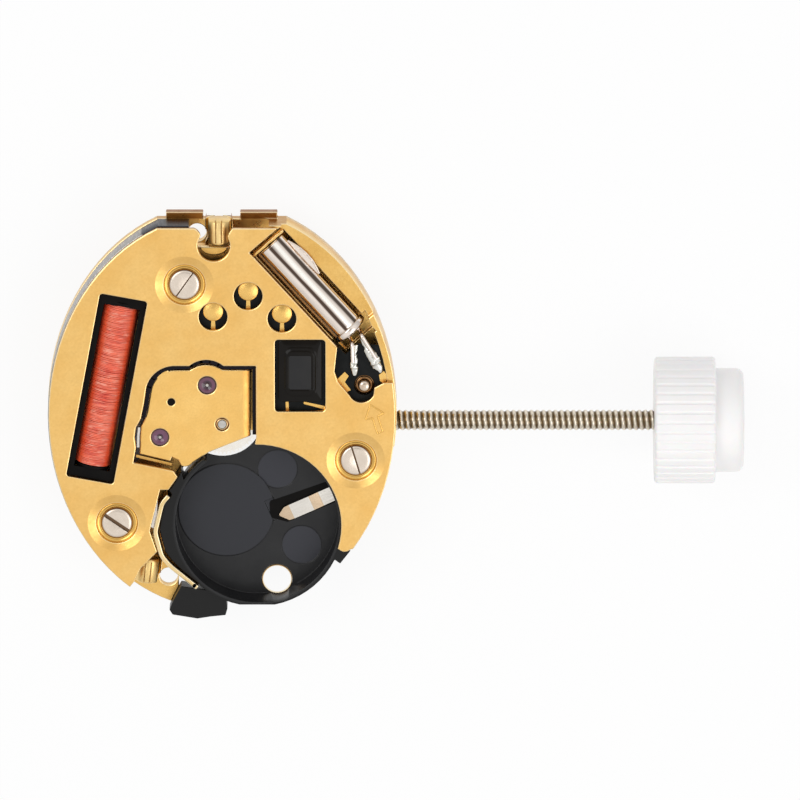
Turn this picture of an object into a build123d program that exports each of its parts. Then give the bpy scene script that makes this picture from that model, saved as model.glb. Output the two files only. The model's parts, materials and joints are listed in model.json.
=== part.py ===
from build123d import *
import math
import os

# All lengths are millimetres. +X runs along the winding stem, +Y towards
# twelve o'clock as seen from the cover, and +Z away from the dial. The origin
# is the hands' axis on the face that the dial rests against.

# Body of the movement
half_width = 7.575
half_length = 9.18
oval_shift = 0.45
movement_height = 1.95
flat_top = 8.98
flat_tab_length = 0.29
flat_tab_low_x = 0.80
flat_tab_high_x = 2.41
overrun = 0.5
face_gap = 0.02
fillet_small = 0.13

# Heights of the layers above the dial seat
dial_recess = 0.30
web_thickness = 0.20
cover_thickness = 0.25
board_thickness = 0.12
board_gap = 0.08
bridge_low = 1.20
bridge_thickness = 0.30
rim_height = 1.36
rim_thickness = 0.30
recess_margin = 0.05

# Gear train, named from the rotor to the hands
rotor_pinion_teeth = 8
intermediate_wheel_teeth = 48
intermediate_pinion_teeth = 12
third_wheel_teeth = 24
third_pinion_teeth = 8
centre_wheel_teeth = 60
cannon_teeth = 12
minute_wheel_teeth = 36
minute_pinion_teeth = 12
hour_wheel_teeth = 48
setting_wheel_teeth = 16
rotor_module = 0.0596
intermediate_module = 0.0962
centre_module = 0.05515
motion_module = 0.075
third_angle = 110.1
intermediate_angle = 205.8
rotor_angle = 252.75
minute_angle = 50.0
setting_angle = -25.0
addendum_share = 0.85
dedendum_share = 1.15
tip_half_share = 0.11
root_half_share = 0.29

# Heights and thicknesses of the wheels
motion_cover_thickness = 0.06
hour_wheel_low = 0.08
motion_wheel_thickness = 0.05
minute_wheel_low = 0.14
pinion_overlap = 0.01
centre_wheel_low = 0.215
wheel_thickness = 0.06
rotor_magnet_low = 0.53
rotor_magnet_thickness = 0.16
rotor_pinion_low = 0.74
rotor_pinion_height = 0.16
train_wheel_thickness = 0.08
intermediate_wheel_low = 0.78
intermediate_pinion_low = 0.94
third_wheel_low = 0.98
intermediate_pinion_height = 0.16

# Arbors, pivots and jewels
rotor_magnet_radius = 0.46
train_arbor_radius = 0.12
train_pivot_radius = 0.06
pivot_clearance = 0.02
third_jewel_radius = 0.40
rotor_jewel_radius = 0.39
jewel_thickness = 0.20
jewel_sink = 0.02
intermediate_hole_radius = 0.16
centre_bush_radius = 0.29
centre_arbor_radius = 0.175
arbor_end_gap = 0.02
cannon_radius = 0.36
minute_seat_radius = 0.35
minute_seat_length = 0.48
cannon_bore_radius = 0.175
cannon_length = 1.25
hour_pipe_radius = 0.60
hour_pipe_bore = 0.39
hour_pipe_length = 0.75
motion_stud_radius = 0.15
setting_stud_radius = 0.15
running_clearance = 0.02

# Motor
coil_x = -4.98
coil_y = 1.80
coil_height = 1.10
coil_lean = 10.5
coil_length = 7.60
coil_radius = 0.73
coil_wire = 0.16
coil_loops = 11
coil_lead_room = 0.36
coil_layer_gap = 0.005
coil_flange = 0.14
coil_lead_in_turn = 0.15
core_width = 0.50
core_thickness = 0.40
core_lug_length = 0.80
core_lug_width = 0.80
stator_thickness = 0.16
stator_arm_width = 0.60
stator_side = 1.16
stator_ring_radius = 1.15
stator_hole_radius = 0.56
stator_low_reach = 0.50
stator_near_reach = 1.60
terminal_width = 1.30
terminal_length = 0.42
terminal_height = 0.22

# Battery bay and its insulator
bay_x = 1.50
bay_y = -4.45
bay_radius = 3.55
bay_wall = 0.20
bay_floor_low = 0.30
bay_floor = 0.06
bay_plate_gap = 0.15
bay_cover_radius = 3.66
bay_foot_y = -8.12
bay_boss_radius = 2.10
bay_boss_x = 0.15
bay_boss_y = -4.18
bay_boss_height = 0.05
bay_hole_radius = 0.665
bay_hole_x = 2.36
bay_hole_y = -7.34
ejector_radius = 0.87
ejector_depth = 0.03
ejector_a_x = 2.39
ejector_a_y = -2.35
ejector_b_x = 3.43
ejector_b_y = -5.78
nose_low = 0.30
nose_high = 1.20

# Battery contacts
strap_thickness = 0.20
strap_low = 1.05
contact_thickness = 0.08
leaf_rise = 0.04
leaf_root_x = 4.86
leaf_root_y = -3.36
leaf_length = 2.62
leaf_width = 0.72
leaf_turn = 203.5
leaf_groove_width = 0.42
leaf_groove_length = 0.98
leaf_groove_x = 2.20
leaf_groove_y = -4.17

# Fastening screws of the cover
screw_head_radius = 0.65
screw_well_radius = 0.90
screw_well_depth = 0.13
screw_head_height = 0.16
screw_shank_radius = 0.30
screw_slot_width = 0.13
screw_slot_depth = 0.08
screw_post_radius = 0.85
screw_a_x = -1.60
screw_a_y = 6.41
screw_b_x = -4.58
screw_b_y = -4.33
screw_c_x = 5.80
screw_c_y = -1.50
screw_a_slot = 55.0
screw_b_slot = -35.0
screw_c_slot = -73.5
thread_clearance = 0.02

# Windows of the cover
coil_window_width = 2.07
coil_window_room = 0.375
coil_window_x = -4.99
coil_window_y = 1.72
chip_window_width = 2.18
chip_window_height = 3.22
chip_window_x = 3.39
chip_window_y = 2.32
chip_window_corner = 0.15
test_hole_radius = 0.617
test_a_x = 1.15
test_a_y = 5.89
test_b_x = 2.61
test_b_y = 4.88
test_c_x = -0.37
test_c_y = 4.97
pad_radius = 0.40
pad_thickness = 0.03
notch_radius = 0.70
notch_x = -0.33
notch_y = 8.15
cover_inset = 0.06
bridge_inset = 0.13

# Quartz crystal
can_radius = 0.74
can_length = 5.00
can_end_x = 5.403
can_end_y = 4.373
can_height = 1.15
can_turn = -48.2
can_bottom = 0.30
can_clearance = 0.08
base_radius = 0.80
base_length = 0.30
glass_radius = 0.52
glass_length = 0.08
lead_radius = 0.10
lead_spacing = 0.56
lead_run = 0.16
lead_rise_length = 0.14
lead_bend = 0.12
lead_room = 0.55
solder_a_x = 5.67
solder_a_y = 2.87
solder_b_x = 6.68
solder_b_y = 3.02
solder_width = 0.46
solder_length = 1.05
solder_height = 0.24
solder_turn_a = 4.0
solder_turn_b = 18.0
solder_taper = 35.0

# Electronic module
chip_width = 1.90
chip_height = 2.90
chip_thickness = 0.14

# Winding stem, crown and the pieces that they move
stem_height = 0.80
stem_thread_radius = 0.45
thread_pitch = 0.26
thread_depth = 0.07
thread_crest_share = 0.25
stem_thread_start = 7.10
stem_end = 19.40
stem_shaft_radius = 0.40
stem_groove_radius = 0.24
stem_groove_low = 5.90
stem_groove_high = 6.34
stem_square = 0.44
stem_square_start = 3.30
stem_square_end = 5.00
stem_pilot_radius = 0.16
stem_pilot_start = 2.60
clutch_radius = 0.47
clutch_low = 3.62
clutch_high = 4.72
clutch_groove_radius = 0.36
clutch_groove_low = 4.10
clutch_groove_high = 4.36
clutch_clearance = 0.03
clutch_teeth = 12
clutch_tooth_depth = 0.09
crown_start = 18.75
crown_step = 21.40
crown_end = 22.63
crown_radius = 2.75
crown_small_radius = 2.25
crown_round = 0.35
crown_flute_radius = 0.10
crown_flutes = 40
stem_block_low = 6.75
stem_block_half = 1.05
stem_block_high = 1.36
stem_hole_radius = 0.48
pilot_block_low = 2.62
pilot_block_high = 3.05
pilot_block_half = 0.45
lever_post_x = 6.17
lever_post_y = 1.81
lever_post_radius = 0.24
lever_collar_radius = 0.45
lever_collar_high = 1.56
lever_thickness = 0.14
lever_arm_width = 0.50
lever_finger_width = 0.26
lever_eye = 0.18
lever_tail_x = 4.95
lever_tail_y = 2.35
lever_post_high = 1.86
yoke_thickness = 0.14
yoke_finger_width = 0.20
yoke_x = 4.60
yoke_y = -1.15
yoke_arm_width = 0.46

# Dial-foot locks
lock_radius = 0.54
lock_length = 1.14
lock_height = 1.06
lock_flat = 0.10
lock_slot_width = 0.16
lock_slot_depth = 0.25
lock_top_x = -0.12
lock_top_y = 8.00
lock_top_turn = 90.0
lock_low_x = -3.20
lock_low_y = -6.05
lock_low_turn = 264.0
lock_clearance = 0.03
foot_hole_radius = 0.40
foot_relief = 0.06
foot_top_x = -1.06
foot_top_y = 8.36
foot_low_x = -2.37
foot_low_y = -7.19

# Dial-side cover of the motion works
motion_cover_hole = 1.62
motion_screw_radius = 0.34
motion_screw_shank = 0.20
motion_screw_length = 0.22
motion_screw_slot_width = 0.08

# Places that follow the others
web_top = dial_recess + web_thickness
cover_low = movement_height - cover_thickness
board_low = cover_low - board_gap - board_thickness
board_high = board_low + board_thickness
bridge_high = bridge_low + bridge_thickness
bay = (bay_x, bay_y)
bay_outer = bay_radius + bay_wall
bay_plate_radius = bay_outer + bay_plate_gap
bay_floor_high = bay_floor_low + bay_floor
screws = {
    (screw_a_x, screw_a_y): screw_a_slot,
    (screw_b_x, screw_b_y): screw_b_slot,
    (screw_c_x, screw_c_y): screw_c_slot,
}
test_holes = [(test_a_x, test_a_y), (test_b_x, test_b_y), (test_c_x, test_c_y)]

# Outlines as shares of the half width. A third entry marks a point that an
# arc passes through on its way to the next one.
via = True
train_window_shares = [
    (0.195, -0.063), (0.195, 0.363), (0.009, 0.363), (-0.095, 0.399, via),
    (-0.186, 0.363), (-0.279, 0.363), (-0.385, 0.317, via), (-0.436, 0.211),
    (-0.448, 0.133), (-0.465, 0.050), (-0.494, -0.004), (-0.502, -0.063),
    (-0.494, -0.124), (-0.508, -0.213), (-0.279, -0.261), (-0.255, -0.297),
    (-0.150, -0.450), (0.150, -0.300),
]
bridge_shares = [
    (0.164, -0.068), (0.164, 0.325), (0.005, 0.325), (-0.089, 0.355, via),
    (-0.184, 0.323), (-0.262, 0.323), (-0.371, 0.278, via), (-0.407, 0.204),
    (-0.427, 0.083), (-0.440, 0.038), (-0.465, -0.013), (-0.471, -0.073),
    (-0.471, -0.124), (-0.475, -0.178), (-0.300, -0.222), (-0.288, -0.198),
    (-0.252, -0.215), (-0.238, -0.247), (-0.203, -0.252, via), (-0.170, -0.230),
    (-0.075, -0.166),
]
notch_shares = [
    (0.063, 1.250), (-0.187, 1.250), (-0.187, 1.181), (-0.130, 1.158, via),
    (-0.118, 1.115), (-0.135, 1.085), (-0.135, 1.076), (0.049, 1.076),
    (0.049, 1.085), (0.037, 1.130), (0.043, 1.148), (0.063, 1.181),
]
contact_cut_shares = [
    (-0.255, -0.297), (-0.308, -0.375), (-0.356, -0.375), (-0.416, -0.620),
    (-0.375, -0.745), (-0.470, -0.845), (-0.508, -0.925), (-0.565, -1.000),
    (-0.500, -1.400), (0.300, -1.400), (0.300, -0.600),
]
right_cut_shares = [
    (0.150, -0.730), (0.668, -0.730), (0.700, -0.745, via), (0.735, -0.730),
    (1.200, -0.730), (1.200, -1.400), (0.150, -1.400),
]
pad_window_shares = [
    (0.660, 0.470), (0.645, 0.330), (0.663, 0.271), (0.730, 0.190),
    (0.800, 0.147, via), (0.866, 0.190), (0.872, 0.235), (0.925, 0.264),
    (1.100, 0.262), (1.100, 0.700), (0.830, 0.560),
]
board_shares = [
    (-0.430, 0.930), (-0.200, 0.960), (0.120, 0.990), (0.625, 0.500),
    (0.980, 0.470), (1.020, -0.200), (0.900, -0.420), (0.700, -0.200),
    (0.300, -0.040), (0.235, -0.020), (0.235, 0.405), (0.020, 0.430),
    (-0.300, 0.430), (-0.440, 0.440),
]
plate_cut_shares = [
    (-0.254, -0.900), (-0.254, -1.300), (0.690, -1.300), (0.690, -0.780),
    (0.600, -0.700), (0.100, -0.700),
]
nose_shares = [
    (0.020, -1.040), (0.026, -1.115), (0.015, -1.154), (-0.071, -1.163),
    (-0.147, -1.175), (-0.290, -1.151), (-0.308, -1.121), (-0.282, -1.060),
    (-0.240, -0.980), (-0.100, -1.000),
]
tab_shares = [
    (0.645, -0.712), (0.735, -0.748), (0.675, -0.826), (0.640, -0.800),
    (0.600, -0.770),
]
shoulder_shares = [
    (-0.235, -0.275), (-0.300, -0.385), (-0.330, -0.430), (-0.362, -0.620),
    (-0.330, -0.755), (-0.285, -0.815), (-0.220, -0.880), (-0.120, -0.960),
    (-0.050, -0.900), (-0.150, -0.600),
]
strap_shares = [
    (-0.308, -0.412), (-0.345, -0.456), (-0.386, -0.628), (-0.350, -0.770),
    (-0.302, -0.830), (-0.145, -0.962),
]
contact_foot_shares = [
    (-0.362, -0.388), (-0.368, -0.430), (-0.380, -0.632), (-0.425, -0.600),
    (-0.392, -0.388),
]
spacer_shares = [
    (-0.186, 1.300), (-0.186, 1.020), (-0.520, 0.900), (-0.850, 0.250),
    (-0.880, -0.100), (-0.760, -0.450), (-0.640, -0.700), (-0.640, -1.000),
    (-1.200, -1.000), (-1.200, 1.300),
]
bridge_posts_shares = [(0.128, 0.289), (-0.211, -0.205), (-0.383, 0.436)]
motion_screws_shares = [(0.080, 0.405), (0.520, 0.140)]


def polar(distance, angle):
    """A place at a distance from the origin, in the direction of an angle in degrees."""
    turn = math.radians(angle)
    return (distance * math.cos(turn), distance * math.sin(turn))


def shifted(place, step):
    """A place moved by a step."""
    return (place[0] + step[0], place[1] + step[1])


def mesh_distance(first_teeth, second_teeth, module):
    """The distance between the axes of two gears in mesh."""
    return module * (first_teeth + second_teeth) / 2


def mesh_phase(first_teeth, first_phase, second_teeth, angle):
    """The phase of a gear whose gap faces the tooth of the gear that drives it."""
    turned = (first_phase - angle) * first_teeth / second_teeth
    return angle + 180 + 180 / second_teeth - turned


def slab(face, low, high):
    """A face of the dial plane made solid between two heights."""
    return Pos(0, 0, low) * extrude(face, amount=high - low)


def disc(place, radius, low, high):
    """An upright cylinder between two heights."""
    return slab(Pos(*place) * Circle(radius), low, high)


def outline(rows, size=half_width):
    """A face bounded by lines, and by arcs through the points marked via."""
    places = [(row[0] * size, row[1] * size) for row in rows]
    edges = []
    index = 0
    while index < len(rows):
        follower = (index + 1) % len(rows)
        if len(rows[follower]) > 2:
            end = (index + 2) % len(rows)
            edges.append(ThreePointArc(places[index], places[follower], places[end]))
            index += 2
        else:
            edges.append(Line(places[index], places[follower]))
            index += 1
    return make_face(edges)


def bar(start, end, width):
    """A straight strip with round ends between two places."""
    middle = ((start[0] + end[0]) / 2, (start[1] + end[1]) / 2)
    length = math.dist(start, end)
    turn = math.degrees(math.atan2(end[1] - start[1], end[0] - start[0]))
    return Pos(*middle) * Rot(0, 0, turn) * SlotCenterToCenter(length, width)


def oval(inset=0):
    """The outline of the movement, drawn in by an inset."""
    return Pos(0, oval_shift) * Ellipse(half_width - inset, half_length - inset)


def below(height):
    """A wide face that lies below a line parallel to X."""
    side = 2 * (half_length + half_width)
    return Pos(0, height - side / 2) * Rectangle(side, side)


def gear_face(teeth, module, phase):
    """The outline of a spur gear with straight flanks."""
    pitch_radius = module * teeth / 2
    tip = pitch_radius + addendum_share * module
    root = pitch_radius - dedendum_share * module
    step = 360 / teeth
    corners = []
    for tooth in range(teeth):
        middle = phase + tooth * step
        corners.append(polar(root, middle - root_half_share * step))
        corners.append(polar(tip, middle - tip_half_share * step))
        corners.append(polar(tip, middle + tip_half_share * step))
        corners.append(polar(root, middle + root_half_share * step))
    return make_face(Polyline(*corners, close=True))


def gear(place, teeth, module, phase, low, high, bore):
    """A spur gear with a round bore between two heights."""
    face = gear_face(teeth, module, phase) - Circle(bore)
    return slab(Pos(*place) * face, low, high)


def slotted(head, place, width, depth, length, top, turn):
    """A screw head with its slot cut from the top."""
    slot = Pos(place[0], place[1], top) * Rot(0, 0, turn) * Box(length, width, 2 * depth)
    return head - slot


third_distance = mesh_distance(third_pinion_teeth, centre_wheel_teeth, centre_module)
intermediate_distance = mesh_distance(
    intermediate_pinion_teeth, third_wheel_teeth, intermediate_module
)
rotor_distance = mesh_distance(rotor_pinion_teeth, intermediate_wheel_teeth, rotor_module)
motion_distance = mesh_distance(cannon_teeth, minute_wheel_teeth, motion_module)
setting_distance = mesh_distance(minute_wheel_teeth, setting_wheel_teeth, motion_module)
hour_module = 2 * motion_distance / (minute_pinion_teeth + hour_wheel_teeth)
centre = (0, 0)
third = polar(third_distance, third_angle)
intermediate = shifted(third, polar(intermediate_distance, intermediate_angle))
rotor = shifted(intermediate, polar(rotor_distance, rotor_angle))
minute = polar(motion_distance, minute_angle)
setting = shifted(minute, polar(setting_distance, setting_angle))
centre_tip = centre_module * (centre_wheel_teeth / 2 + addendum_share)
minute_tip = motion_module * (minute_wheel_teeth / 2 + addendum_share)
setting_tip = motion_module * (setting_wheel_teeth / 2 + addendum_share)
third_pinion_tip = centre_module * (third_pinion_teeth / 2 + addendum_share)
bridge_posts = [(x * half_width, y * half_width) for x, y in bridge_posts_shares]
motion_screws = [(x * half_width, y * half_width) for x, y in motion_screws_shares]
coil_pitch = (coil_length - 2 * coil_flange - 2 * coil_lead_room) / coil_loops
coil_frame = Pos(coil_x, coil_y, coil_height) * Rot(0, 0, -coil_lean)
can_x = can_end_x - can_length * math.cos(math.radians(can_turn))
can_y = can_end_y - can_length * math.sin(math.radians(can_turn))
can_frame = Pos(can_x, can_y, can_height) * Rot(0, 0, can_turn)


def coil_place(along, aside):
    """A place given along the coil's axis and to the right of it."""
    lean = math.radians(coil_lean)
    x = coil_x + along * math.sin(lean) + aside * math.cos(lean)
    y = coil_y + along * math.cos(lean) - aside * math.sin(lean)
    return (x, y)


def can_place(along, aside):
    """A place given along the crystal's axis and outwards from it."""
    turn = math.radians(can_turn)
    x = can_x + along * math.cos(turn) - aside * math.sin(turn)
    y = can_y + along * math.sin(turn) + aside * math.cos(turn)
    return (x, y)


def can_pocket_face(side, before, after):
    """The strip of the dial plane that the crystal lies in, open to the rim."""
    reach = half_width
    corners = [
        can_place(-before, -side),
        can_place(can_length + base_length + after, -side),
        can_place(can_length + base_length + after, reach),
        can_place(-before, reach),
    ]
    return make_face(Polyline(*corners, close=True))


def can_bank_face():
    """The bank of the plate between the crystal and the rim."""
    side = base_radius + can_clearance
    corners = [
        can_place(-can_bottom, side), can_place(can_length, side),
        can_place(can_length, half_width), can_place(-can_bottom, half_width),
    ]
    return make_face(Polyline(*corners, close=True)) & oval() & below(flat_top)


def can_bed_face():
    """The strip that the crystal itself fills, with its clearance."""
    side = base_radius + can_clearance
    length = can_length + base_length + glass_length + lead_room
    middle = can_place((length - can_clearance) / 2, 0)
    return Pos(*middle) * Rot(0, 0, can_turn) * Rectangle(length + can_clearance, 2 * side)


def stem_turned(face):
    """A face drawn with X along the stem and Y outwards, turned round the stem's axis."""
    return Pos(0, 0, stem_height) * revolve(face, Axis.X)


def stem_cylinder(start, end, radius):
    """A cylinder on the stem's axis."""
    middle = Pos((start + end) / 2, 0, stem_height)
    return middle * Rot(0, 90, 0) * Cylinder(radius, end - start)


def plate_walls():
    """What stands on the plate's web: the rim beside the crystal, blocks and posts."""
    rim_zone = Pos(half_width, half_length / 2) * Rectangle(2 * half_width - flat_tab_low_x, half_length)
    rim = (oval() - oval(rim_thickness)) & rim_zone & below(flat_top)
    walls = slab(rim - can_pocket_face(0, can_bottom, 0), web_top, cover_low)
    walls += slab(rim + can_bank_face(), web_top, rim_height)
    for place in screws:
        walls += disc(place, screw_post_radius, web_top, cover_low)
    for place in bridge_posts:
        walls += disc(place, centre_bush_radius, web_top, bridge_low)
    block_middle = (stem_block_low + half_width) / 2
    block = Pos(block_middle, 0) * Rectangle(half_width - stem_block_low, 2 * stem_block_half)
    walls += slab(block & oval(), web_top, stem_block_high)
    pilot_middle = (pilot_block_low + pilot_block_high) / 2
    pilot = Pos(pilot_middle, 0) * Rectangle(pilot_block_high - pilot_block_low, 2 * pilot_block_half)
    walls += slab(pilot, web_top, stem_block_high)
    walls += lock_cradle(lock_top_x, lock_top_y, lock_top_turn)
    walls += lock_cradle(lock_low_x, lock_low_y, lock_low_turn)
    return walls


def lock_frame(x, y, turn):
    """The frame of a dial-foot lock, whose own X runs out along its axis."""
    return Pos(x, y, lock_height) * Rot(0, 0, turn)


def lock_cradle(x, y, turn):
    """The block of the plate that a dial-foot lock lies in, up to its axis."""
    width = 2 * (lock_radius + lock_clearance)
    height = lock_height - web_top
    lift = -lock_height + web_top + height / 2
    block = Pos(lock_length / 2, 0, lift) * Box(lock_length, width, height)
    return lock_frame(x, y, turn) * block


def lock_bed(x, y, turn):
    """The round bed that lets a dial-foot lock turn."""
    radius = lock_radius + lock_clearance
    bed = Pos(lock_length / 2, 0, 0) * Rot(0, 90, 0) * Cylinder(radius, lock_length + overrun)
    return lock_frame(x, y, turn) * bed


def flat_tabs():
    """The two tabs that stand out of the plate's flat end."""
    width = flat_tab_high_x - flat_tab_low_x
    middle = (flat_tab_high_x + flat_tab_low_x) / 2
    tab = Pos(middle, flat_top) * Rectangle(width, 2 * flat_tab_length)
    return slab(tab, 0, web_top) + slab(mirror(tab, Plane.YZ), 0, web_top)


def plate_recesses():
    """What is cut from the plate's dial side for the wheels and their cover."""
    cuts = disc(centre, centre_tip + recess_margin, -overrun, dial_recess)
    cuts += disc(minute, minute_tip + recess_margin, -overrun, dial_recess)
    cuts += disc(setting, setting_tip + recess_margin, -overrun, dial_recess)
    cuts += slab(motion_cover_face(0), -overrun, motion_cover_thickness)
    for place in motion_screws:
        cuts += disc(place, motion_screw_shank + thread_clearance, -overrun, motion_screw_length + face_gap)
    return cuts


def plate_openings():
    """What is cut through the plate."""
    through = (-overrun, movement_height)
    cuts = disc(bay, bay_plate_radius, *through)
    for shares in (plate_cut_shares, shoulder_shares, tab_shares, nose_shares):
        cuts += slab(outline(shares), *through)
    for place in ((foot_top_x, foot_top_y), (foot_low_x, foot_low_y)):
        cuts += disc(place, foot_hole_radius, *through)
        cuts += disc(place, foot_hole_radius + foot_relief, web_top, movement_height)
    cuts += disc(third, third_pinion_tip + recess_margin, *through)
    cuts += disc(centre, centre_arbor_radius + pivot_clearance, *through)
    for place in (rotor, intermediate):
        cuts += disc(place, train_pivot_radius + pivot_clearance, *through)
    for place in screws:
        cuts += disc(place, screw_shank_radius + thread_clearance, dial_recess, movement_height)
    return cuts


def main_plate():
    """The plate that carries everything."""
    body = slab(oval() & below(flat_top), 0, web_top) + flat_tabs() + plate_walls()
    body -= plate_recesses()
    body -= plate_openings()
    bed_low = can_height - base_radius - can_clearance
    body -= slab(can_bed_face(), bed_low, movement_height)
    side = coil_radius + recess_margin
    coil_bed = Box(2 * side, coil_length + 2 * recess_margin, 2 * side)
    body -= coil_frame * coil_bed
    body -= stem_cylinder(stem_square_start, half_width + overrun, stem_hole_radius)
    body -= stem_cylinder(0, stem_square_start, stem_pilot_radius + running_clearance)
    body -= lock_bed(lock_top_x, lock_top_y, lock_top_turn)
    body -= lock_bed(lock_low_x, lock_low_y, lock_low_turn)
    post = (lever_post_x, lever_post_y)
    body -= disc(post, lever_post_radius + running_clearance, 0, web_top + overrun)
    studs = disc(setting, setting_stud_radius, motion_cover_thickness, dial_recess)
    return body + studs


def crystal_cut_face():
    """What the crystal and its leads leave open in the cover and the board."""
    return can_pocket_face(base_radius + face_gap, can_bottom + can_clearance, lead_room)


def cover_face():
    """The outline of the cover with its windows."""
    face = oval(cover_inset) & below(flat_top - cover_inset)
    face -= Pos(notch_x, notch_y) * Circle(notch_radius)
    face -= outline(notch_shares)
    face -= crystal_cut_face()
    face -= outline(pad_window_shares)
    face -= Pos(*bay) * Circle(bay_cover_radius)
    face -= outline(train_window_shares)
    face -= outline(contact_cut_shares)
    face -= outline(right_cut_shares)
    window = RectangleRounded(coil_window_width, coil_length + 2 * coil_window_room, fillet_small)
    face -= Pos(coil_window_x, coil_window_y) * Rot(0, 0, -coil_lean) * window
    chip_window = RectangleRounded(chip_window_width, chip_window_height, chip_window_corner)
    face -= Pos(chip_window_x, chip_window_y) * chip_window
    for place in test_holes:
        face -= Pos(*place) * Circle(test_hole_radius)
    for place in screws:
        face -= Pos(*place) * Circle(screw_shank_radius + thread_clearance)
    return face


def cover_plate():
    """The gold cover with its screw wells."""
    body = slab(cover_face(), cover_low, movement_height)
    for place in screws:
        well_low = movement_height - screw_well_depth
        body -= disc(place, screw_well_radius, well_low, movement_height + overrun)
    return body


def cover_screws():
    """The three slotted screws of the cover."""
    seat = movement_height - screw_well_depth
    top = seat + screw_head_height
    group = []
    for place, turn in screws.items():
        screw = disc(place, screw_head_radius, seat, top)
        screw += disc(place, screw_shank_radius, dial_recess, seat)
        length = 2 * screw_head_radius + overrun
        group.append(slotted(screw, place, screw_slot_width, screw_slot_depth, length, top, turn))
    return Compound(children=group)


def train_bridge():
    """The bridge over the gear train, on its three posts."""
    face = outline(bridge_shares)
    face += Pos(*bridge_posts[2]) * Circle(screw_shank_radius + bridge_inset)
    face += bar(bridge_posts[2], intermediate, 2 * screw_shank_radius)
    body = slab(face, bridge_low, bridge_high)
    jewel_low = bridge_high - jewel_sink - jewel_thickness
    body -= disc(third, third_jewel_radius, jewel_low, bridge_high + overrun)
    body -= disc(rotor, rotor_jewel_radius, jewel_low, bridge_high + overrun)
    for place in (third, rotor):
        body -= disc(place, train_arbor_radius + pivot_clearance, bridge_low - overrun, bridge_high)
    body -= disc(intermediate, train_pivot_radius + pivot_clearance, bridge_low - overrun, bridge_high)
    sink = bridge_high - jewel_thickness
    body -= disc(intermediate, intermediate_hole_radius, sink, bridge_high + overrun)
    body -= disc(centre, centre_bush_radius, bridge_low - overrun, bridge_high + overrun)
    return body


def jewel(place, radius):
    """A flat bearing stone with its pivot hole."""
    high = bridge_high - jewel_sink
    stone = disc(place, radius, high - jewel_thickness, high)
    return stone - disc(place, train_pivot_radius + pivot_clearance, bridge_low, bridge_high)


def centre_bush():
    """The bearing ring of the centre arbor in the bridge."""
    ring = disc(centre, centre_bush_radius, bridge_low, bridge_high)
    hole_radius = centre_arbor_radius + pivot_clearance
    return ring - disc(centre, hole_radius, bridge_low - overrun, bridge_high + overrun)


def arbor(place, low, high):
    """A train arbor with a thinner pivot at each end."""
    jewel_low = bridge_high - jewel_sink - jewel_thickness
    body = disc(place, train_arbor_radius, low, jewel_low - arbor_end_gap)
    return body + disc(place, train_pivot_radius, dial_recess + arbor_end_gap, high)


centre_phase = 0
third_pinion_phase = mesh_phase(centre_wheel_teeth, centre_phase, third_pinion_teeth, third_angle)
third_wheel_phase = 0
intermediate_pinion_phase = mesh_phase(
    third_wheel_teeth, third_wheel_phase, intermediate_pinion_teeth, intermediate_angle
)
intermediate_wheel_phase = 0
rotor_pinion_phase = mesh_phase(
    intermediate_wheel_teeth, intermediate_wheel_phase, rotor_pinion_teeth, rotor_angle
)
cannon_phase = 0
minute_wheel_phase = mesh_phase(cannon_teeth, cannon_phase, minute_wheel_teeth, minute_angle)
minute_pinion_phase = 0
hour_wheel_phase = mesh_phase(
    minute_pinion_teeth, minute_pinion_phase, hour_wheel_teeth, minute_angle + 180
)
setting_wheel_phase = mesh_phase(
    minute_wheel_teeth, minute_wheel_phase, setting_wheel_teeth, setting_angle
)


def rotor_magnet():
    """The round magnet of the stepping motor, pressed on its pinion's arbor."""
    high = rotor_magnet_low + rotor_magnet_thickness
    ring = disc(rotor, rotor_magnet_radius, rotor_magnet_low, high)
    return ring - disc(rotor, train_arbor_radius, rotor_magnet_low - overrun, high + overrun)


def rotor_pinion():
    """The rotor's arbor with its pinion."""
    high = rotor_pinion_low + rotor_pinion_height
    teeth = gear(
        rotor, rotor_pinion_teeth, rotor_module, rotor_pinion_phase,
        rotor_pinion_low, high, train_pivot_radius,
    )
    return teeth + arbor(rotor, rotor_magnet_low, bridge_high - arbor_end_gap)


def intermediate_wheel():
    """The wheel that the rotor's pinion drives."""
    high = intermediate_wheel_low + train_wheel_thickness
    return gear(
        intermediate, intermediate_wheel_teeth, rotor_module, intermediate_wheel_phase,
        intermediate_wheel_low, high, train_arbor_radius,
    )


def intermediate_pinion():
    """The intermediate arbor with its pinion."""
    high = intermediate_pinion_low + intermediate_pinion_height
    teeth = gear(
        intermediate, intermediate_pinion_teeth, intermediate_module, intermediate_pinion_phase,
        intermediate_pinion_low, high, train_pivot_radius,
    )
    low = web_top + arbor_end_gap
    return teeth + arbor(intermediate, low, bridge_high - jewel_thickness - arbor_end_gap)


def third_wheel():
    """The third wheel."""
    high = third_wheel_low + train_wheel_thickness
    return gear(
        third, third_wheel_teeth, intermediate_module, third_wheel_phase,
        third_wheel_low, high, train_arbor_radius,
    )


def third_pinion():
    """The third arbor, whose pinion reaches down to the centre wheel."""
    low = centre_wheel_low - pinion_overlap
    high = centre_wheel_low + wheel_thickness + pinion_overlap
    teeth = gear(
        third, third_pinion_teeth, centre_module, third_pinion_phase,
        low, high, train_pivot_radius,
    )
    jewel_low = bridge_high - jewel_sink - jewel_thickness
    shaft = disc(third, train_arbor_radius, low, jewel_low - arbor_end_gap)
    shaft += disc(third, train_pivot_radius, arbor_end_gap, bridge_high - arbor_end_gap)
    return teeth + shaft


def centre_wheel():
    """The wide wheel under the battery's edge, which turns once an hour."""
    high = centre_wheel_low + wheel_thickness
    return gear(
        centre, centre_wheel_teeth, centre_module, centre_phase,
        centre_wheel_low, high, centre_arbor_radius,
    )


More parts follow.
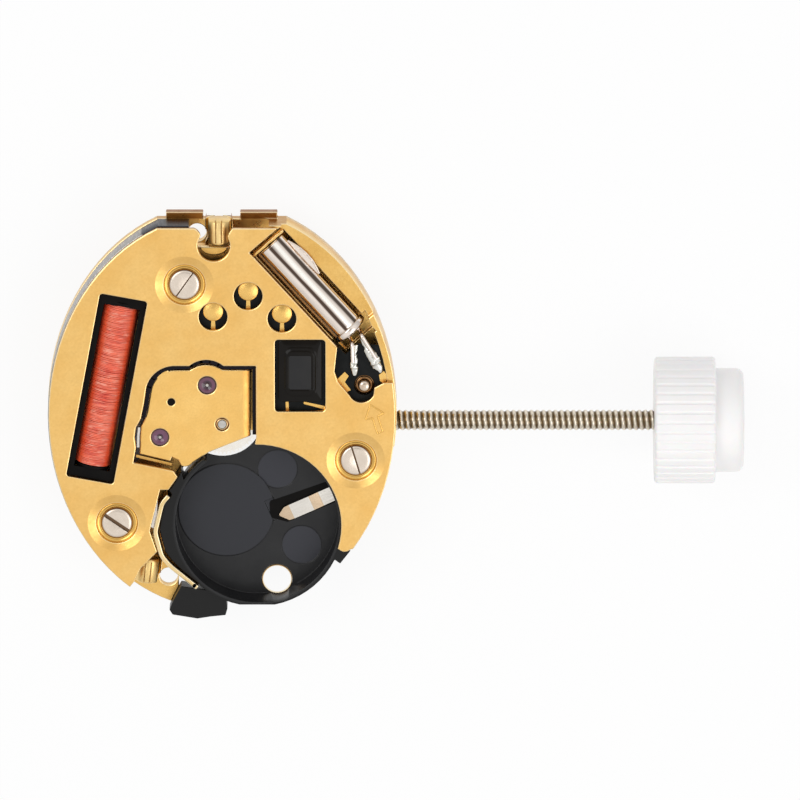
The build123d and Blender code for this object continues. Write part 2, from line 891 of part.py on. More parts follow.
def centre_arbor():
    """The long arbor from the bridge to the minute hand."""
    return disc(centre, centre_arbor_radius, -cannon_length, bridge_high - arbor_end_gap)


def cannon_pinion():
    """The pinion tube that carries the minute hand."""
    low = minute_wheel_low
    high = minute_wheel_low + motion_wheel_thickness
    teeth = gear(centre, cannon_teeth, motion_module, cannon_phase, low, high, cannon_bore_radius)
    seat_high = minute_seat_length - cannon_length
    seat = disc(centre, minute_seat_radius, -cannon_length, seat_high)
    upright = (Align.CENTER, Align.CENTER, Align.MIN)
    neck = Cone(minute_seat_radius, cannon_radius, high - seat_high, align=upright)
    tube = seat + Pos(0, 0, seat_high) * neck
    return teeth + tube - disc(centre, cannon_bore_radius, -cannon_length - overrun, high + overrun)


def minute_wheel():
    """The wheel that the cannon pinion drives."""
    high = minute_wheel_low + motion_wheel_thickness
    return gear(
        minute, minute_wheel_teeth, motion_module, minute_wheel_phase,
        minute_wheel_low, high, motion_stud_radius + running_clearance,
    )


def minute_pinion():
    """The pinion under the minute wheel, which drives the hour wheel."""
    low = hour_wheel_low - pinion_overlap
    return gear(
        minute, minute_pinion_teeth, hour_module, minute_pinion_phase,
        low, minute_wheel_low, motion_stud_radius + running_clearance,
    )


def hour_wheel():
    """The hour wheel with the pipe that carries the hour hand."""
    high = hour_wheel_low + motion_wheel_thickness
    wheel = gear(
        centre, hour_wheel_teeth, hour_module, hour_wheel_phase,
        hour_wheel_low, high, hour_pipe_bore,
    )
    pipe = disc(centre, hour_pipe_radius, -hour_pipe_length, high)
    bore = disc(centre, hour_pipe_bore, -hour_pipe_length - overrun, high + overrun)
    return wheel + pipe - bore


def setting_wheel():
    """The idler between the sliding pinion and the minute wheel."""
    return gear(
        setting, setting_wheel_teeth, motion_module, setting_wheel_phase,
        minute_wheel_low, minute_wheel_low + motion_wheel_thickness,
        setting_stud_radius + running_clearance,
    )


def motion_cover_face(inset):
    """The outline of the sheet that keeps the motion works in."""
    face = Pos(*minute) * Circle(minute_tip + 2 * recess_margin - inset)
    face += Pos(*setting) * Circle(setting_tip + 2 * recess_margin - inset)
    face += Pos(*third) * Circle(third_jewel_radius - inset)
    face += bar(third, minute, 2 * (third_jewel_radius - inset))
    for place in motion_screws:
        face += bar(place, setting, 2 * (motion_screw_radius + recess_margin - inset))
    return face - Pos(*centre) * Circle(motion_cover_hole + inset)


def motion_cover():
    """The sheet over the minute wheel and the setting wheel, with the minute wheel's stud."""
    body = slab(motion_cover_face(face_gap), 0, motion_cover_thickness)
    stud_high = minute_wheel_low + motion_wheel_thickness
    body += disc(minute, motion_stud_radius, 0, stud_high)
    body -= disc(third, train_pivot_radius + pivot_clearance, -overrun, dial_recess)
    for place in motion_screws:
        body -= disc(place, motion_screw_shank + thread_clearance, -overrun, dial_recess)
    return body


def motion_cover_screws():
    """The two small screws of the dial-side sheet."""
    group = []
    for place in motion_screws:
        screw = disc(place, motion_screw_radius, -motion_cover_thickness, 0)
        screw += disc(place, motion_screw_shank, 0, motion_screw_length)
        slot = Pos(place[0], place[1], -motion_cover_thickness)
        slot *= Box(2 * motion_screw_radius + overrun, motion_screw_slot_width, motion_cover_thickness)
        group.append(screw - slot)
    return Compound(children=group)


def stator():
    """The soft iron sheet that closes the coil's field round the rotor."""
    near = coil_place(-stator_near_reach, stator_side)
    far = coil_place(coil_length / 2 + core_lug_length / 2, stator_side)
    far_lug = coil_place(coil_length / 2 + core_lug_length / 2, 0)
    low_lug = coil_place(-coil_length / 2 - core_lug_length / 2, 0)
    low_corner = coil_place(-coil_length / 2 - stator_low_reach, stator_side - stator_arm_width / 2)
    face = Pos(*rotor) * Circle(stator_ring_radius)
    face += bar(rotor, near, stator_arm_width)
    face += bar(near, far, stator_arm_width)
    face += bar(far, far_lug, stator_arm_width)
    face += bar(rotor, low_corner, stator_arm_width)
    face += bar(low_corner, low_lug, stator_arm_width)
    face -= Pos(*rotor) * Circle(stator_hole_radius)
    return slab(face, web_top, web_top + stator_thickness)


def coil_core():
    """The iron bar through the coil, with a lug at each end that stands on the stator."""
    body = Box(core_width, coil_length + 2 * core_lug_length, core_thickness)
    lug_low = web_top + stator_thickness - coil_height
    lug_height = core_thickness / 2 - lug_low
    for side in (1, -1):
        place = side * (coil_length + core_lug_length) / 2
        lug = Box(core_lug_width, core_lug_length, lug_height)
        body += Pos(0, place, lug_low + lug_height / 2) * lug
    return coil_frame * body


def coil_body():
    """The inner layers of the winding, wound plainly on the bar."""
    radius = coil_radius - coil_wire - coil_layer_gap
    length = coil_length - 2 * coil_flange
    body = Rot(90, 0, 0) * Cylinder(radius, length)
    return coil_frame * (body - Box(core_width, coil_length, core_thickness))


def coil_flanges():
    """The insulating cheek at each end of the winding."""
    group = []
    for side in (1, -1):
        place = side * (coil_length - coil_flange) / 2
        cheek = Pos(0, place, 0) * Rot(90, 0, 0) * Cylinder(coil_radius, coil_flange)
        group.append(coil_frame * (cheek - Box(core_width, 2 * coil_length, core_thickness)))
    return Compound(children=group)


def helix_point(turns):
    """A point of the winding's outer layer after a number of turns."""
    angle = 2 * math.pi * turns
    radius = coil_radius - coil_wire / 2
    rise = coil_pitch * (turns - coil_loops / 2)
    return Vector(radius * math.cos(angle), rise, radius * math.sin(angle))


def helix_tangent(turns):
    """The direction of the winding's outer layer after a number of turns."""
    angle = 2 * math.pi * turns
    around = 2 * math.pi * (coil_radius - coil_wire / 2)
    return Vector(-around * math.sin(angle), coil_pitch, around * math.cos(angle)).normalized()


def biarc(start, start_way, end, end_way):
    """Two arcs that leave and arrive in the given directions."""
    span = end - start
    both = start_way + end_way
    apart = 2 * (1 - start_way.dot(end_way))
    reach = (math.sqrt(span.dot(both) ** 2 + apart * span.dot(span)) - span.dot(both)) / apart
    joint = (start + end + (start_way - end_way) * reach) * 0.5
    first = TangentArc(start, joint, tangent=start_way)
    second = TangentArc(joint, end, tangent=first % 1)
    return [first, second]


def coil_path():
    """The route of the outer layer: a straight lead, the turns and a straight lead."""
    axial = Vector(0, 1, 0)
    first, last = coil_lead_in_turn, coil_loops - coil_lead_in_turn
    quarters = math.ceil(4 * (last - first))
    stops = [first + (last - first) * index / quarters for index in range(quarters + 1)]
    inner_face = coil_length / 2 - coil_flange
    entry = helix_point(0)
    entry = Vector(entry.X, -inner_face, entry.Z)
    leave = helix_point(coil_loops)
    leave = Vector(leave.X, inner_face, leave.Z)
    bend_in = entry + axial * coil_wire
    bend_out = leave - axial * coil_wire
    edges = [Line(entry, bend_in)]
    edges += biarc(bend_in, axial, helix_point(first), helix_tangent(first))
    for here, there in zip(stops, stops[1:]):
        edges += biarc(helix_point(here), helix_tangent(here), helix_point(there), helix_tangent(there))
    edges += biarc(helix_point(last), helix_tangent(last), bend_out, axial)
    edges.append(Line(bend_out, leave))
    return Wire(edges)


def least_gap(path):
    """The smallest gap between the wire and itself, measured on points along its route."""
    count = 60 * coil_loops
    points = [path.position_at(index / count) for index in range(count + 1)]
    step = path.length / count
    skip = math.ceil(math.pi * coil_radius / step)
    gaps = []
    for index, point in enumerate(points):
        for other in points[index + skip:]:
            gaps.append((other - point).length)
    return min(gaps) - coil_wire


def coil_winding():
    """The outer layer of the coil as one unbroken wire."""
    path = coil_path()
    print("least gap of the coil's wire to itself:", round(least_gap(path), 3), "mm")
    section = Plane(path.position_at(0), z_dir=path.tangent_at(0)) * Circle(coil_wire / 2)
    return coil_frame * sweep(section, path=path)


def coil_terminal():
    """The small terminal block at the coil's lower end."""
    place = -coil_length / 2 - terminal_length / 2
    high = core_thickness / 2
    block = Pos(0, place, high + terminal_height / 2)
    return coil_frame * block * Box(terminal_width, terminal_length, terminal_height)


def module_spacer():
    """The grey spacer that closes the side between the plate and the cover."""
    face = (oval(face_gap) & below(flat_top)) & outline(spacer_shares)
    for place in screws:
        face -= Pos(*place) * Circle(screw_post_radius + face_gap)
    body = slab(face, web_top, cover_low)
    side = 2 * (coil_radius + recess_margin)
    ends = coil_length + 2 * (core_lug_length + recess_margin)
    keep = coil_frame * Box(side, ends, 2 * movement_height)
    return body - keep - slab(stator_keep(), web_top, web_top + stator_thickness + recess_margin)


def stator_keep():
    """A wider copy of the stator's arms for the pieces that pass over it."""
    width = stator_arm_width + 2 * recess_margin
    near = coil_place(-stator_near_reach, stator_side)
    far = coil_place(coil_length / 2 + core_lug_length / 2, stator_side)
    far_lug = coil_place(coil_length / 2 + core_lug_length / 2, 0)
    low_lug = coil_place(-coil_length / 2 - core_lug_length / 2, 0)
    low_corner = coil_place(-coil_length / 2 - stator_low_reach, stator_side - stator_arm_width / 2)
    face = bar(near, far, width) + bar(far, far_lug, width)
    return face + bar(rotor, low_corner, width) + bar(low_corner, low_lug, width)


def circuit_board():
    """The thin board of the electronic module."""
    face = outline(board_shares) & oval(2 * cover_inset)
    face -= crystal_cut_face()
    face -= Pos(*bay) * Circle(bay_plate_radius)
    face -= Pos(notch_x, notch_y) * Circle(notch_radius)
    for place in screws:
        face -= Pos(*place) * Circle(screw_post_radius + face_gap)
    face -= Pos(lever_post_x, lever_post_y) * Circle(lever_collar_radius)
    upper_right = Pos(half_width, half_width) * Rectangle(2 * half_width, 2 * half_width)
    face -= (oval() - oval(rim_thickness + face_gap)) & upper_right
    return slab(face, board_low, board_high)


def contact_pads():
    """The gilt test pads under the cover's three holes."""
    group = [disc(place, pad_radius, board_high, board_high + pad_thickness) for place in test_holes]
    return Compound(children=group)


def chip():
    """The potted circuit in its window."""
    face = RectangleRounded(chip_width, chip_height, chip_window_corner)
    return slab(Pos(chip_window_x, chip_window_y) * face, board_high, board_high + chip_thickness)


def quartz_can():
    """The crystal's metal can with its domed end."""
    body = Pos(can_length / 2, 0, 0) * Rot(0, 90, 0) * Cylinder(can_radius, can_length)
    body = fillet(body.edges().filter_by(GeomType.CIRCLE).sort_by(Axis.X)[0], can_bottom)
    return can_frame * body


def quartz_base():
    """The rolled ring that closes the can, with its glass bead."""
    ring = Pos(can_length + base_length / 2, 0, 0) * Rot(0, 90, 0) * Cylinder(base_radius, base_length)
    bead_place = can_length + base_length + glass_length / 2
    bead = Pos(bead_place, 0, 0) * Rot(0, 90, 0) * Cylinder(glass_radius, glass_length)
    return can_frame * (ring + bead)


def quartz_leads():
    """The crystal's two leads up to their solder joints."""
    start = can_length + base_length + glass_length
    group = []
    ends = [(solder_a_x, solder_a_y), (solder_b_x, solder_b_y)]
    for side, end in zip((-1, 1), ends):
        root = can_place(start, side * lead_spacing / 2)
        bend = can_place(start + lead_run, side * lead_spacing / 2)
        rise = can_place(start + lead_run + lead_rise_length, side * lead_spacing / 2)
        top = board_high + lead_radius
        points = [(*root, can_height), (*bend, can_height), (*rise, top), (*end, top)]
        path = FilletPolyline(*points, radius=lead_bend)
        section = Plane(path.position_at(0), z_dir=path.tangent_at(0)) * Circle(lead_radius)
        group.append(sweep(section, path=path))
    return Compound(children=group)


def solder_joints():
    """The two solder joints of the crystal's leads on the board."""
    group = []
    places = [(solder_a_x, solder_a_y, solder_turn_a), (solder_b_x, solder_b_y, solder_turn_b)]
    for x, y, turn in places:
        face = Ellipse(solder_width / 2, solder_length / 2)
        dome = extrude(face, amount=solder_height, taper=solder_taper)
        group.append(Pos(x, y, board_high) * Rot(0, 0, turn) * dome)
    return Compound(children=group)


def battery_insulator():
    """The black cup that the battery lies in."""
    above_foot = Pos(0, bay_foot_y + half_length) * Rectangle(4 * half_width, 2 * half_length)
    trim = below(-bay_foot_y) & above_foot
    ring = (Pos(*bay) * Circle(bay_outer)) & trim
    shoulder = outline(shoulder_shares)
    body = slab(ring + shoulder + outline(tab_shares), bay_floor_low, cover_low - face_gap)
    body += slab(outline(nose_shares), nose_low, nose_high)
    body -= disc(bay, bay_radius, bay_floor_high, movement_height)
    slot = Rectangle(bay_wall + 2 * face_gap, leaf_width + 2 * face_gap)
    slot = Pos(leaf_root_x, leaf_root_y) * Rot(0, 0, leaf_turn) * slot
    leaf_high = bay_floor_high + contact_thickness + leaf_rise
    body -= slab(slot, bay_floor_high, leaf_high + 2 * face_gap)
    body -= slab(strap_face(strap_thickness + 2 * face_gap), strap_low - face_gap, movement_height)
    body -= disc(centre, centre_tip + recess_margin, 0, movement_height)
    boss_high = bay_floor_high + bay_boss_height
    boss = disc((bay_boss_x, bay_boss_y), bay_boss_radius, bay_floor_high, boss_high)
    body += boss & disc(bay, bay_radius, bay_floor_low, movement_height)
    body -= disc((bay_hole_x, bay_hole_y), bay_hole_radius, 0, movement_height)
    for place in ((ejector_a_x, ejector_a_y), (ejector_b_x, ejector_b_y)):
        body -= disc(place, ejector_radius, bay_floor_high - ejector_depth, bay_floor_high + face_gap)
    groove = Rot(0, 0, leaf_turn) * Rectangle(leaf_groove_width, leaf_groove_length)
    groove = Pos(leaf_groove_x, leaf_groove_y) * groove
    body -= slab(groove, bay_floor_high - ejector_depth, bay_floor_high + 2 * bay_boss_height)
    return body


def strap_face(width):
    """The path of the positive contact's edge, with a width."""
    places = [(x * half_width, y * half_width) for x, y in strap_shares]
    pieces = [bar(start, end, width) for start, end in zip(places, places[1:])]
    face = pieces[0]
    for piece in pieces[1:]:
        face += piece
    return face


def positive_contact():
    """The gold strap that presses on the battery's side, with its foot on the spacer."""
    body = slab(strap_face(strap_thickness), strap_low, movement_height - face_gap)
    foot = slab(outline(contact_foot_shares), board_low, board_low + contact_thickness)
    return body + foot


def negative_contact():
    """The pointed spring leaf that presses on the battery's underside."""
    corners = [
        (0, -leaf_width / 2), (leaf_length - leaf_width, -leaf_width / 2),
        (leaf_length, -leaf_groove_width / 2), (leaf_length, 0),
        (leaf_length - leaf_width, leaf_width / 2), (0, leaf_width / 2),
    ]
    blade = extrude(make_face(Polyline(*corners, close=True)), amount=contact_thickness)
    tilt = math.degrees(math.atan(leaf_rise / leaf_length))
    root = Pos(leaf_root_x, leaf_root_y, bay_floor_high + face_gap)
    return root * Rot(0, 0, leaf_turn) * Rot(0, -tilt, 0) * blade


def thread_profile():
    """Half the stem's long section, from the pilot to the crown."""
    corners = [
        (stem_pilot_start, 0), (stem_pilot_start, stem_pilot_radius),
        (stem_square_start, stem_pilot_radius), (stem_square_start, stem_groove_radius),
        (stem_square_end, stem_groove_radius), (stem_square_end, stem_shaft_radius),
        (stem_groove_low, stem_shaft_radius), (stem_groove_low, stem_groove_radius),
        (stem_groove_high, stem_groove_radius), (stem_groove_high, stem_shaft_radius),
        (stem_thread_start, stem_shaft_radius),
    ]
    turns = int((crown_start - stem_thread_start) / thread_pitch)
    crest = thread_crest_share * thread_pitch
    for turn in range(turns):
        start = stem_thread_start + turn * thread_pitch
        corners.append((start, stem_thread_radius - thread_depth))
        corners.append((start + thread_pitch / 2 - crest / 2, stem_thread_radius))
        corners.append((start + thread_pitch / 2 + crest / 2, stem_thread_radius))
    end = stem_thread_start + turns * thread_pitch
    root = stem_thread_radius - thread_depth
    corners += [(end, root), (stem_end, root), (stem_end, 0)]
    return make_face(Polyline(*corners, close=True))


def stem():
    """The threaded winding stem with its groove, square and pilot."""
    body = stem_turned(thread_profile())
    square_length = stem_square_end - stem_square_start
    square = Pos(stem_square_start + square_length / 2, 0, stem_height)
    return body + square * Box(square_length, stem_square, stem_square)


def sliding_pinion():
    """The clutch that slides on the stem's square, with face teeth and a groove."""
    body = stem_cylinder(clutch_low, clutch_high, clutch_radius)
    groove = stem_cylinder(clutch_groove_low, clutch_groove_high, clutch_radius + overrun)
    groove -= stem_cylinder(clutch_groove_low - overrun, clutch_groove_high + overrun, clutch_groove_radius)
    body -= groove
    width = math.pi * clutch_radius / clutch_teeth
    for tooth in range(clutch_teeth):
        turn = 360 * tooth / clutch_teeth
        gap = Pos(0, clutch_radius, 0) * Box(2 * clutch_tooth_depth, clutch_radius, width)
        body -= Pos(clutch_low, 0, stem_height) * Rot(turn, 0, 0) * gap
    side = stem_square + 2 * clutch_clearance
    middle = Pos((clutch_low + clutch_high) / 2, 0, stem_height)
    return body - middle * Box(clutch_high - clutch_low + overrun, side, side)


def crown():
    """The plastic crown in two steps, with fine flutes and its threaded bore."""
    large = stem_cylinder(crown_start, crown_step, crown_radius)
    rims = large.edges().filter_by(GeomType.CIRCLE)
    large = fillet(rims, crown_round / 2)
    small = stem_cylinder(crown_step, crown_end, crown_small_radius)
    small = fillet(small.edges().filter_by(GeomType.CIRCLE).sort_by(Axis.X)[-1], crown_round)
    body = large + small
    for flute in range(crown_flutes):
        turn = 360 * flute / crown_flutes
        length = crown_step - crown_start + overrun
        groove = Rot(0, 90, 0) * Cylinder(crown_flute_radius, length)
        place = Pos((crown_start + crown_step) / 2, 0, stem_height) * Rot(turn, 0, 0)
        body -= place * Pos(0, crown_radius + crown_flute_radius / 2, 0) * groove
    bore = stem_thread_radius - thread_depth
    return body - stem_cylinder(crown_start - overrun, stem_end, bore)


def lever_low():
    """The underside of the setting lever, whose finger lies at the stem's height."""
    return stem_height - lever_thickness / 2


def setting_lever():
    """The lever whose finger lies in the stem's groove."""
    post = (lever_post_x, lever_post_y)
    finger = ((stem_groove_low + stem_groove_high) / 2, stem_groove_radius + 2 * pivot_clearance)
    knee = (finger[0], stem_thread_radius + lever_arm_width)
    face = bar(post, knee, lever_arm_width)
    finger_end = (finger[0], finger[1] + lever_finger_width / 2)
    face += bar(knee, finger_end, lever_finger_width)
    face += bar(post, (lever_tail_x, lever_tail_y), lever_finger_width)
    face += Pos(*post) * Circle(lever_post_radius + lever_eye)
    face -= Pos(*post) * Circle(lever_post_radius + running_clearance)
    return slab(face, lever_low(), lever_low() + lever_thickness)


def setting_lever_post():
    """The button that lifts the lever out of the stem's groove."""
    post = (lever_post_x, lever_post_y)
    return disc(post, lever_post_radius, web_top + face_gap, lever_post_high)


def lever_collar():
    """The fixed collar that guides the release button."""
    post = (lever_post_x, lever_post_y)
    low = lever_low() + lever_thickness + face_gap
    ring = disc(post, lever_collar_radius, low, lever_collar_high)
    hole_radius = lever_post_radius + running_clearance
    return ring - disc(post, hole_radius, low - overrun, lever_collar_high + overrun)


def yoke():
    """The fork that shifts the sliding pinion."""
    groove = (clutch_groove_low + clutch_groove_high) / 2
    finger = (groove, -clutch_groove_radius - 2 * pivot_clearance - yoke_finger_width / 2)
    face = bar((yoke_x, yoke_y), (groove, yoke_y), yoke_arm_width)
    face += bar((groove, yoke_y), finger, yoke_finger_width)
    low = stem_height - yoke_thickness / 2
    return slab(face, low, low + yoke_thickness)


def nodes():
    """Every piece by its node's name."""
    return {
        "main_plate": main_plate(),
        "cover_plate": cover_plate(),
        "cover_screws": cover_screws(),
        "train_bridge": train_bridge(),
        "third_wheel_jewel": jewel(third, third_jewel_radius),
        "rotor_jewel": jewel(rotor, rotor_jewel_radius),
        "centre_bush": centre_bush(),
        "rotor_magnet": rotor_magnet(),
        "rotor_pinion": rotor_pinion(),
        "intermediate_wheel": intermediate_wheel(),
        "intermediate_pinion": intermediate_pinion(),
        "third_wheel": third_wheel(),
        "third_pinion": third_pinion(),
        "centre_wheel": centre_wheel(),
        "centre_arbor": centre_arbor(),
        "cannon_pinion": cannon_pinion(),
        "minute_wheel": minute_wheel(),
        "minute_pinion": minute_pinion(),
        "hour_wheel": hour_wheel(),
        "setting_wheel": setting_wheel(),
        "motion_cover": motion_cover(),
        "motion_cover_screws": motion_cover_screws(),
        "stator": stator(),
        "coil_core": coil_core(),
        "coil_body": coil_body(),
        "coil_winding": coil_winding(),
        "coil_flanges": coil_flanges(),
        "coil_terminal": coil_terminal(),
        "module_spacer": module_spacer(),
        "circuit_board": circuit_board(),
        "contact_pads": contact_pads(),
        "circuit_chip": chip(),
        "quartz_can": quartz_can(),
        "quartz_base": quartz_base(),
        "quartz_leads": quartz_leads(),
        "solder_joints": solder_joints(),
        "battery_insulator": battery_insulator(),
        "positive_contact": positive_contact(),
        "negative_contact": negative_contact(),
        "stem": stem(),
        "sliding_pinion": sliding_pinion(),
        "crown": crown(),
        "setting_lever": setting_lever(),
        "setting_lever_post": setting_lever_post(),
        "lever_collar": lever_collar(),
        "yoke": yoke(),
        "dial_foot_lock_top": dial_foot_lock(lock_top_x, lock_top_y, lock_top_turn),
        "dial_foot_lock_low": dial_foot_lock(lock_low_x, lock_low_y, lock_low_turn),
    }


def dial_foot_lock(x, y, turn):
    """A slotted barrel with a flat that clears the dial's foot until it is turned."""
    body = Pos(lock_length / 2, 0, 0) * Rot(0, 90, 0) * Cylinder(lock_radius, lock_length)
    flat = Pos(lock_length / 2, lock_radius, 0) * Box(lock_length + overrun, 2 * lock_flat, 2 * lock_radius)
    slot = Pos(lock_length, 0, 0) * Box(2 * lock_slot_depth, lock_slot_width, 2 * lock_radius)
    return lock_frame(x, y, turn) * (body - flat - slot)


def main():
    """Writes each piece to its own file."""
    os.makedirs("parts", exist_ok=True)
    for name, shape in nodes().items():
        export_step(shape, f"parts/{name}.step")


main()
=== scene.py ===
import json
import math
import random

import bmesh
import bpy
from mathutils import Matrix, Vector, noise


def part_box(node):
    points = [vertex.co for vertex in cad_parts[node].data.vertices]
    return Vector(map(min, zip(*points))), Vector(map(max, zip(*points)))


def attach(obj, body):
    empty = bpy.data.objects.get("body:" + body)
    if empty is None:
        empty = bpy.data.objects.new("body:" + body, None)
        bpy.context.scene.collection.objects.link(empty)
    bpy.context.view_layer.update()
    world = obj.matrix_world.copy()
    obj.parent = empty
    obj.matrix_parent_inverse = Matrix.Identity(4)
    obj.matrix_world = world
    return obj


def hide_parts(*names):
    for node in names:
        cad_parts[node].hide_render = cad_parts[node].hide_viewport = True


# Every length in this script is written in millimetres and is scaled here.
MM = 0.001

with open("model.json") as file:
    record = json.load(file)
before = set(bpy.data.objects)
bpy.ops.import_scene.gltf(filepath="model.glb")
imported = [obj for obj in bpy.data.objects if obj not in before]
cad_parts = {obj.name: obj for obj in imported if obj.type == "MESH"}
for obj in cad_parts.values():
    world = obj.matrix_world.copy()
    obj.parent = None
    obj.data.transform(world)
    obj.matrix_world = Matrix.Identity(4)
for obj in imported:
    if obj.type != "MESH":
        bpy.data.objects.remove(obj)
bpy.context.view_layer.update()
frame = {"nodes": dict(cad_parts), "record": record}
nodes = frame["nodes"]
record = frame["record"]
scene = bpy.context.scene
body_of_node = {}
for body_name, members in record["behaviour"]["bodies"].items():
    for member in members:
        body_of_node[member] = body_name


# Places that the frame states
def ends_of(node, axis):
    """Where a CAD node starts and ends along an axis."""
    return [corner[axis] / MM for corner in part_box(node)]


joint_places = {
    joint["name"]: Vector(joint["pos_m"]) / MM for joint in record["behaviour"]["joints"] if "pos_m" in joint
}
third_axis, rotor_axis, intermediate_axis, button_axis = (
    Vector((*joint_places[name].xy, 0))
    for name in ("third_turn", "rotor_turn", "intermediate_turn", "setting_lever_turn")
)
stem_height = joint_places["crown_turn"].z
cover_top = ends_of("cover_plate", 2)[1]
bridge_top = ends_of("train_bridge", 2)[1]
board_top = ends_of("circuit_board", 2)[1]
coil_low, coil_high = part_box("coil_body")
coil_middle = (Vector(coil_low) + Vector(coil_high)) / (2 * MM)
coil_lean = 10.5
bay_middle = next(
    Vector(mount["pos_m"]).xy / MM for mount in record["mounts"] if mount["name"] == "battery_bay"
)
screw_places = {"a": (-1.60, 6.41, 55.0), "b": (-4.58, -4.33, -35.0), "c": (5.80, -1.50, -73.5)}

# Where the photograph shows the origin, and its pixels for a millimetre
photo_middle = (222.5, 414.9)
photo_across, photo_up, photo_rise = 23.0, 22.11, 6.34


def from_photo(pixel, height):
    """The place at a height that a pixel of the photograph shows."""
    x = (pixel[0] - photo_middle[0]) / photo_across
    y = (photo_middle[1] + photo_rise * height - pixel[1]) / photo_up
    return x, y


def directions(turn):
    """The unit vectors along an angle from +X and to its left."""
    angle = math.radians(turn)
    along = Vector((math.cos(angle), math.sin(angle), 0))
    return along, Vector((-along.y, along.x, 0))


can_turn = -48.2
can_root = Vector((2.07, 8.10, 1.15))
can_way, can_left = directions(can_turn)
coil_way, coil_left = directions(90 - coil_lean)
leaf_turn = 204.0
leaf_root = Vector((4.86, -3.36, 0))
leaf_way, leaf_left = directions(leaf_turn)


def settled(made, **settings):
    """A new node, modifier, lamp or camera with those settings."""
    for key, value in settings.items():
        setattr(made, key, value)
    return made


# Node trees of the materials, the floor and the world
class Graph:
    """A node tree with the few nodes that this scene needs."""

    def __init__(self, owner):
        owner.use_nodes = True
        self.nodes = owner.node_tree.nodes
        self.links = owner.node_tree.links

    def feed(self, socket, value):
        """Gives a socket a number, a vector, a colour or another node's output."""
        if isinstance(value, bpy.types.NodeSocket):
            self.links.new(value, socket)
        else:
            socket.default_value = (*value, 1) if socket.type == "RGBA" else value

    def add(self, kind, feeds, output=0, **settings):
        """The output of a new node with those inputs."""
        node = settled(self.nodes.new(kind), **settings)
        for key, value in feeds.items():
            self.feed(node.inputs[key], value)
        return node.outputs[output]

    def calc(self, operation, first, second=0.0):
        """One operation on two numbers."""
        return self.add("ShaderNodeMath", {0: first, 1: second}, operation=operation)

    def vector(self, operation, first, second, output=0):
        """One operation on two vectors."""
        return self.add("ShaderNodeVectorMath", {0: first, 1: second}, output, operation=operation)

    def spread(self, value, low, high, start=0.3, end=0.7):
        """The value moved from one range to another."""
        feeds = {"Value": value, "From Min": start, "From Max": end, "To Min": low, "To Max": high}
        return self.add("ShaderNodeMapRange", feeds, "Result")

    def mix(self, factor, first, second):
        """Two colours mixed by a factor."""
        feeds = {"Factor": factor, "A": first, "B": second}
        return self.add("ShaderNodeMix", feeds, "Result", data_type="RGBA")

    def ramp(self, factor, stops):
        """The colour at a factor between (position, colour) stops."""
        node = self.nodes.new("ShaderNodeValToRGB")
        elements = node.color_ramp.elements
        for element, (position, colour) in zip(elements, (stops[0], stops[-1])):
            element.position = position
            element.color = (*colour, 1)
        for position, colour in stops[1:-1]:
            elements.new(position).color = (*colour, 1)
        self.feed(node.inputs["Fac"], factor)
        return node.outputs["Color"]


finishes = {}


class Tree(Graph):
    """The node tree of a new finish, around its main shader."""

    def __init__(self, name, **values):
        finishes[name] = bpy.data.materials.new(name)
        super().__init__(finishes[name])
        self.inputs = self.nodes["Principled BSDF"].inputs
        for key, value in values.items():
            self.inputs[key.replace("_", " ")].default_value = value
        self.place = self.add("ShaderNodeTexCoord", {}, "Object")

    def stretch(self, factors, turn=0.0):
        """The place, turned about Z and stretched along its axes."""
        feeds = {"Vector": self.place, "Rotation": (0, 0, math.radians(turn))}
        return self.vector("MULTIPLY", self.add("ShaderNodeMapping", feeds), factors)

    def noise(self, size, detail=3.0, rough=0.55, place=None):
        """Noise whose features are about that many millimetres."""
        feeds = {"Vector": self.place if place is None else place, "Scale": 1 / (size * MM)}
        return self.add("ShaderNodeTexNoise", {**feeds, "Detail": detail, "Roughness": rough}, "Fac")

    def along(self, axis):
        """The place along X, Y or Z, in millimetres."""
        return self.calc("MULTIPLY", self.add("ShaderNodeSeparateXYZ", {0: self.place}, axis), 1 / MM)

    def distance(self, centre, flat=(1, 1, 0)):
        """How far from an axis, in millimetres. flat is zero along that axis."""
        near = self.vector("MULTIPLY", self.place, tuple(share / MM for share in flat))
        return self.vector("DISTANCE", near, centre, "Value")

    def across(self, place, lean):
        """How far to the right of a line that leans from Y, in millimetres."""
        lean = math.radians(lean)
        shift = place[0] * math.cos(lean) - place[1] * math.sin(lean)
        right = self.calc("MULTIPLY", self.along("X"), math.cos(lean))
        down = self.calc("MULTIPLY", self.along("Y"), math.sin(lean))
        return self.calc("SUBTRACT", self.calc("SUBTRACT", right, down), shift)

    def edges(self):
        """One on rounded edges, and zero on level and upright faces."""
        normal = self.add("ShaderNodeTexCoord", {}, "Normal")
        level = self.calc("ABSOLUTE", self.add("ShaderNodeSeparateXYZ", {0: normal}, "Z"))
        leaning = self.spread(level, 1, 0, 0.80, 0.985)
        return self.calc("MULTIPLY", leaning, self.spread(level, 0, 1, 0.05, 0.3))

    def paint(self, colour, roughness, *layers):
        """Ends the tree. layers are bumps as (height, depth in millimetres), one upon another."""
        normal = None
        for height, depth in layers:
            feeds = {"Height": height, "Distance": depth * MM, "Strength": 1.0}
            if normal:
                feeds["Normal"] = normal
            normal = self.add("ShaderNodeBump", feeds, "Normal")
        for key, value in (("Base Color", colour), ("Roughness", roughness), ("Normal", normal)):
            self.feed(self.inputs[key], value)


# Finishes
# A colour changes over this width at a place, and over the other at a round mark.
place_border, mark_border = 0.04, 0.06
# The walls below a polished face take a colour of painted shade between these depths.
wall_start, wall_end = 0.05, 0.09
# The cover is pressed down round its screws between these radii.
well_radius, well_reach, well_depth = 0.95, 1.27, 0.11


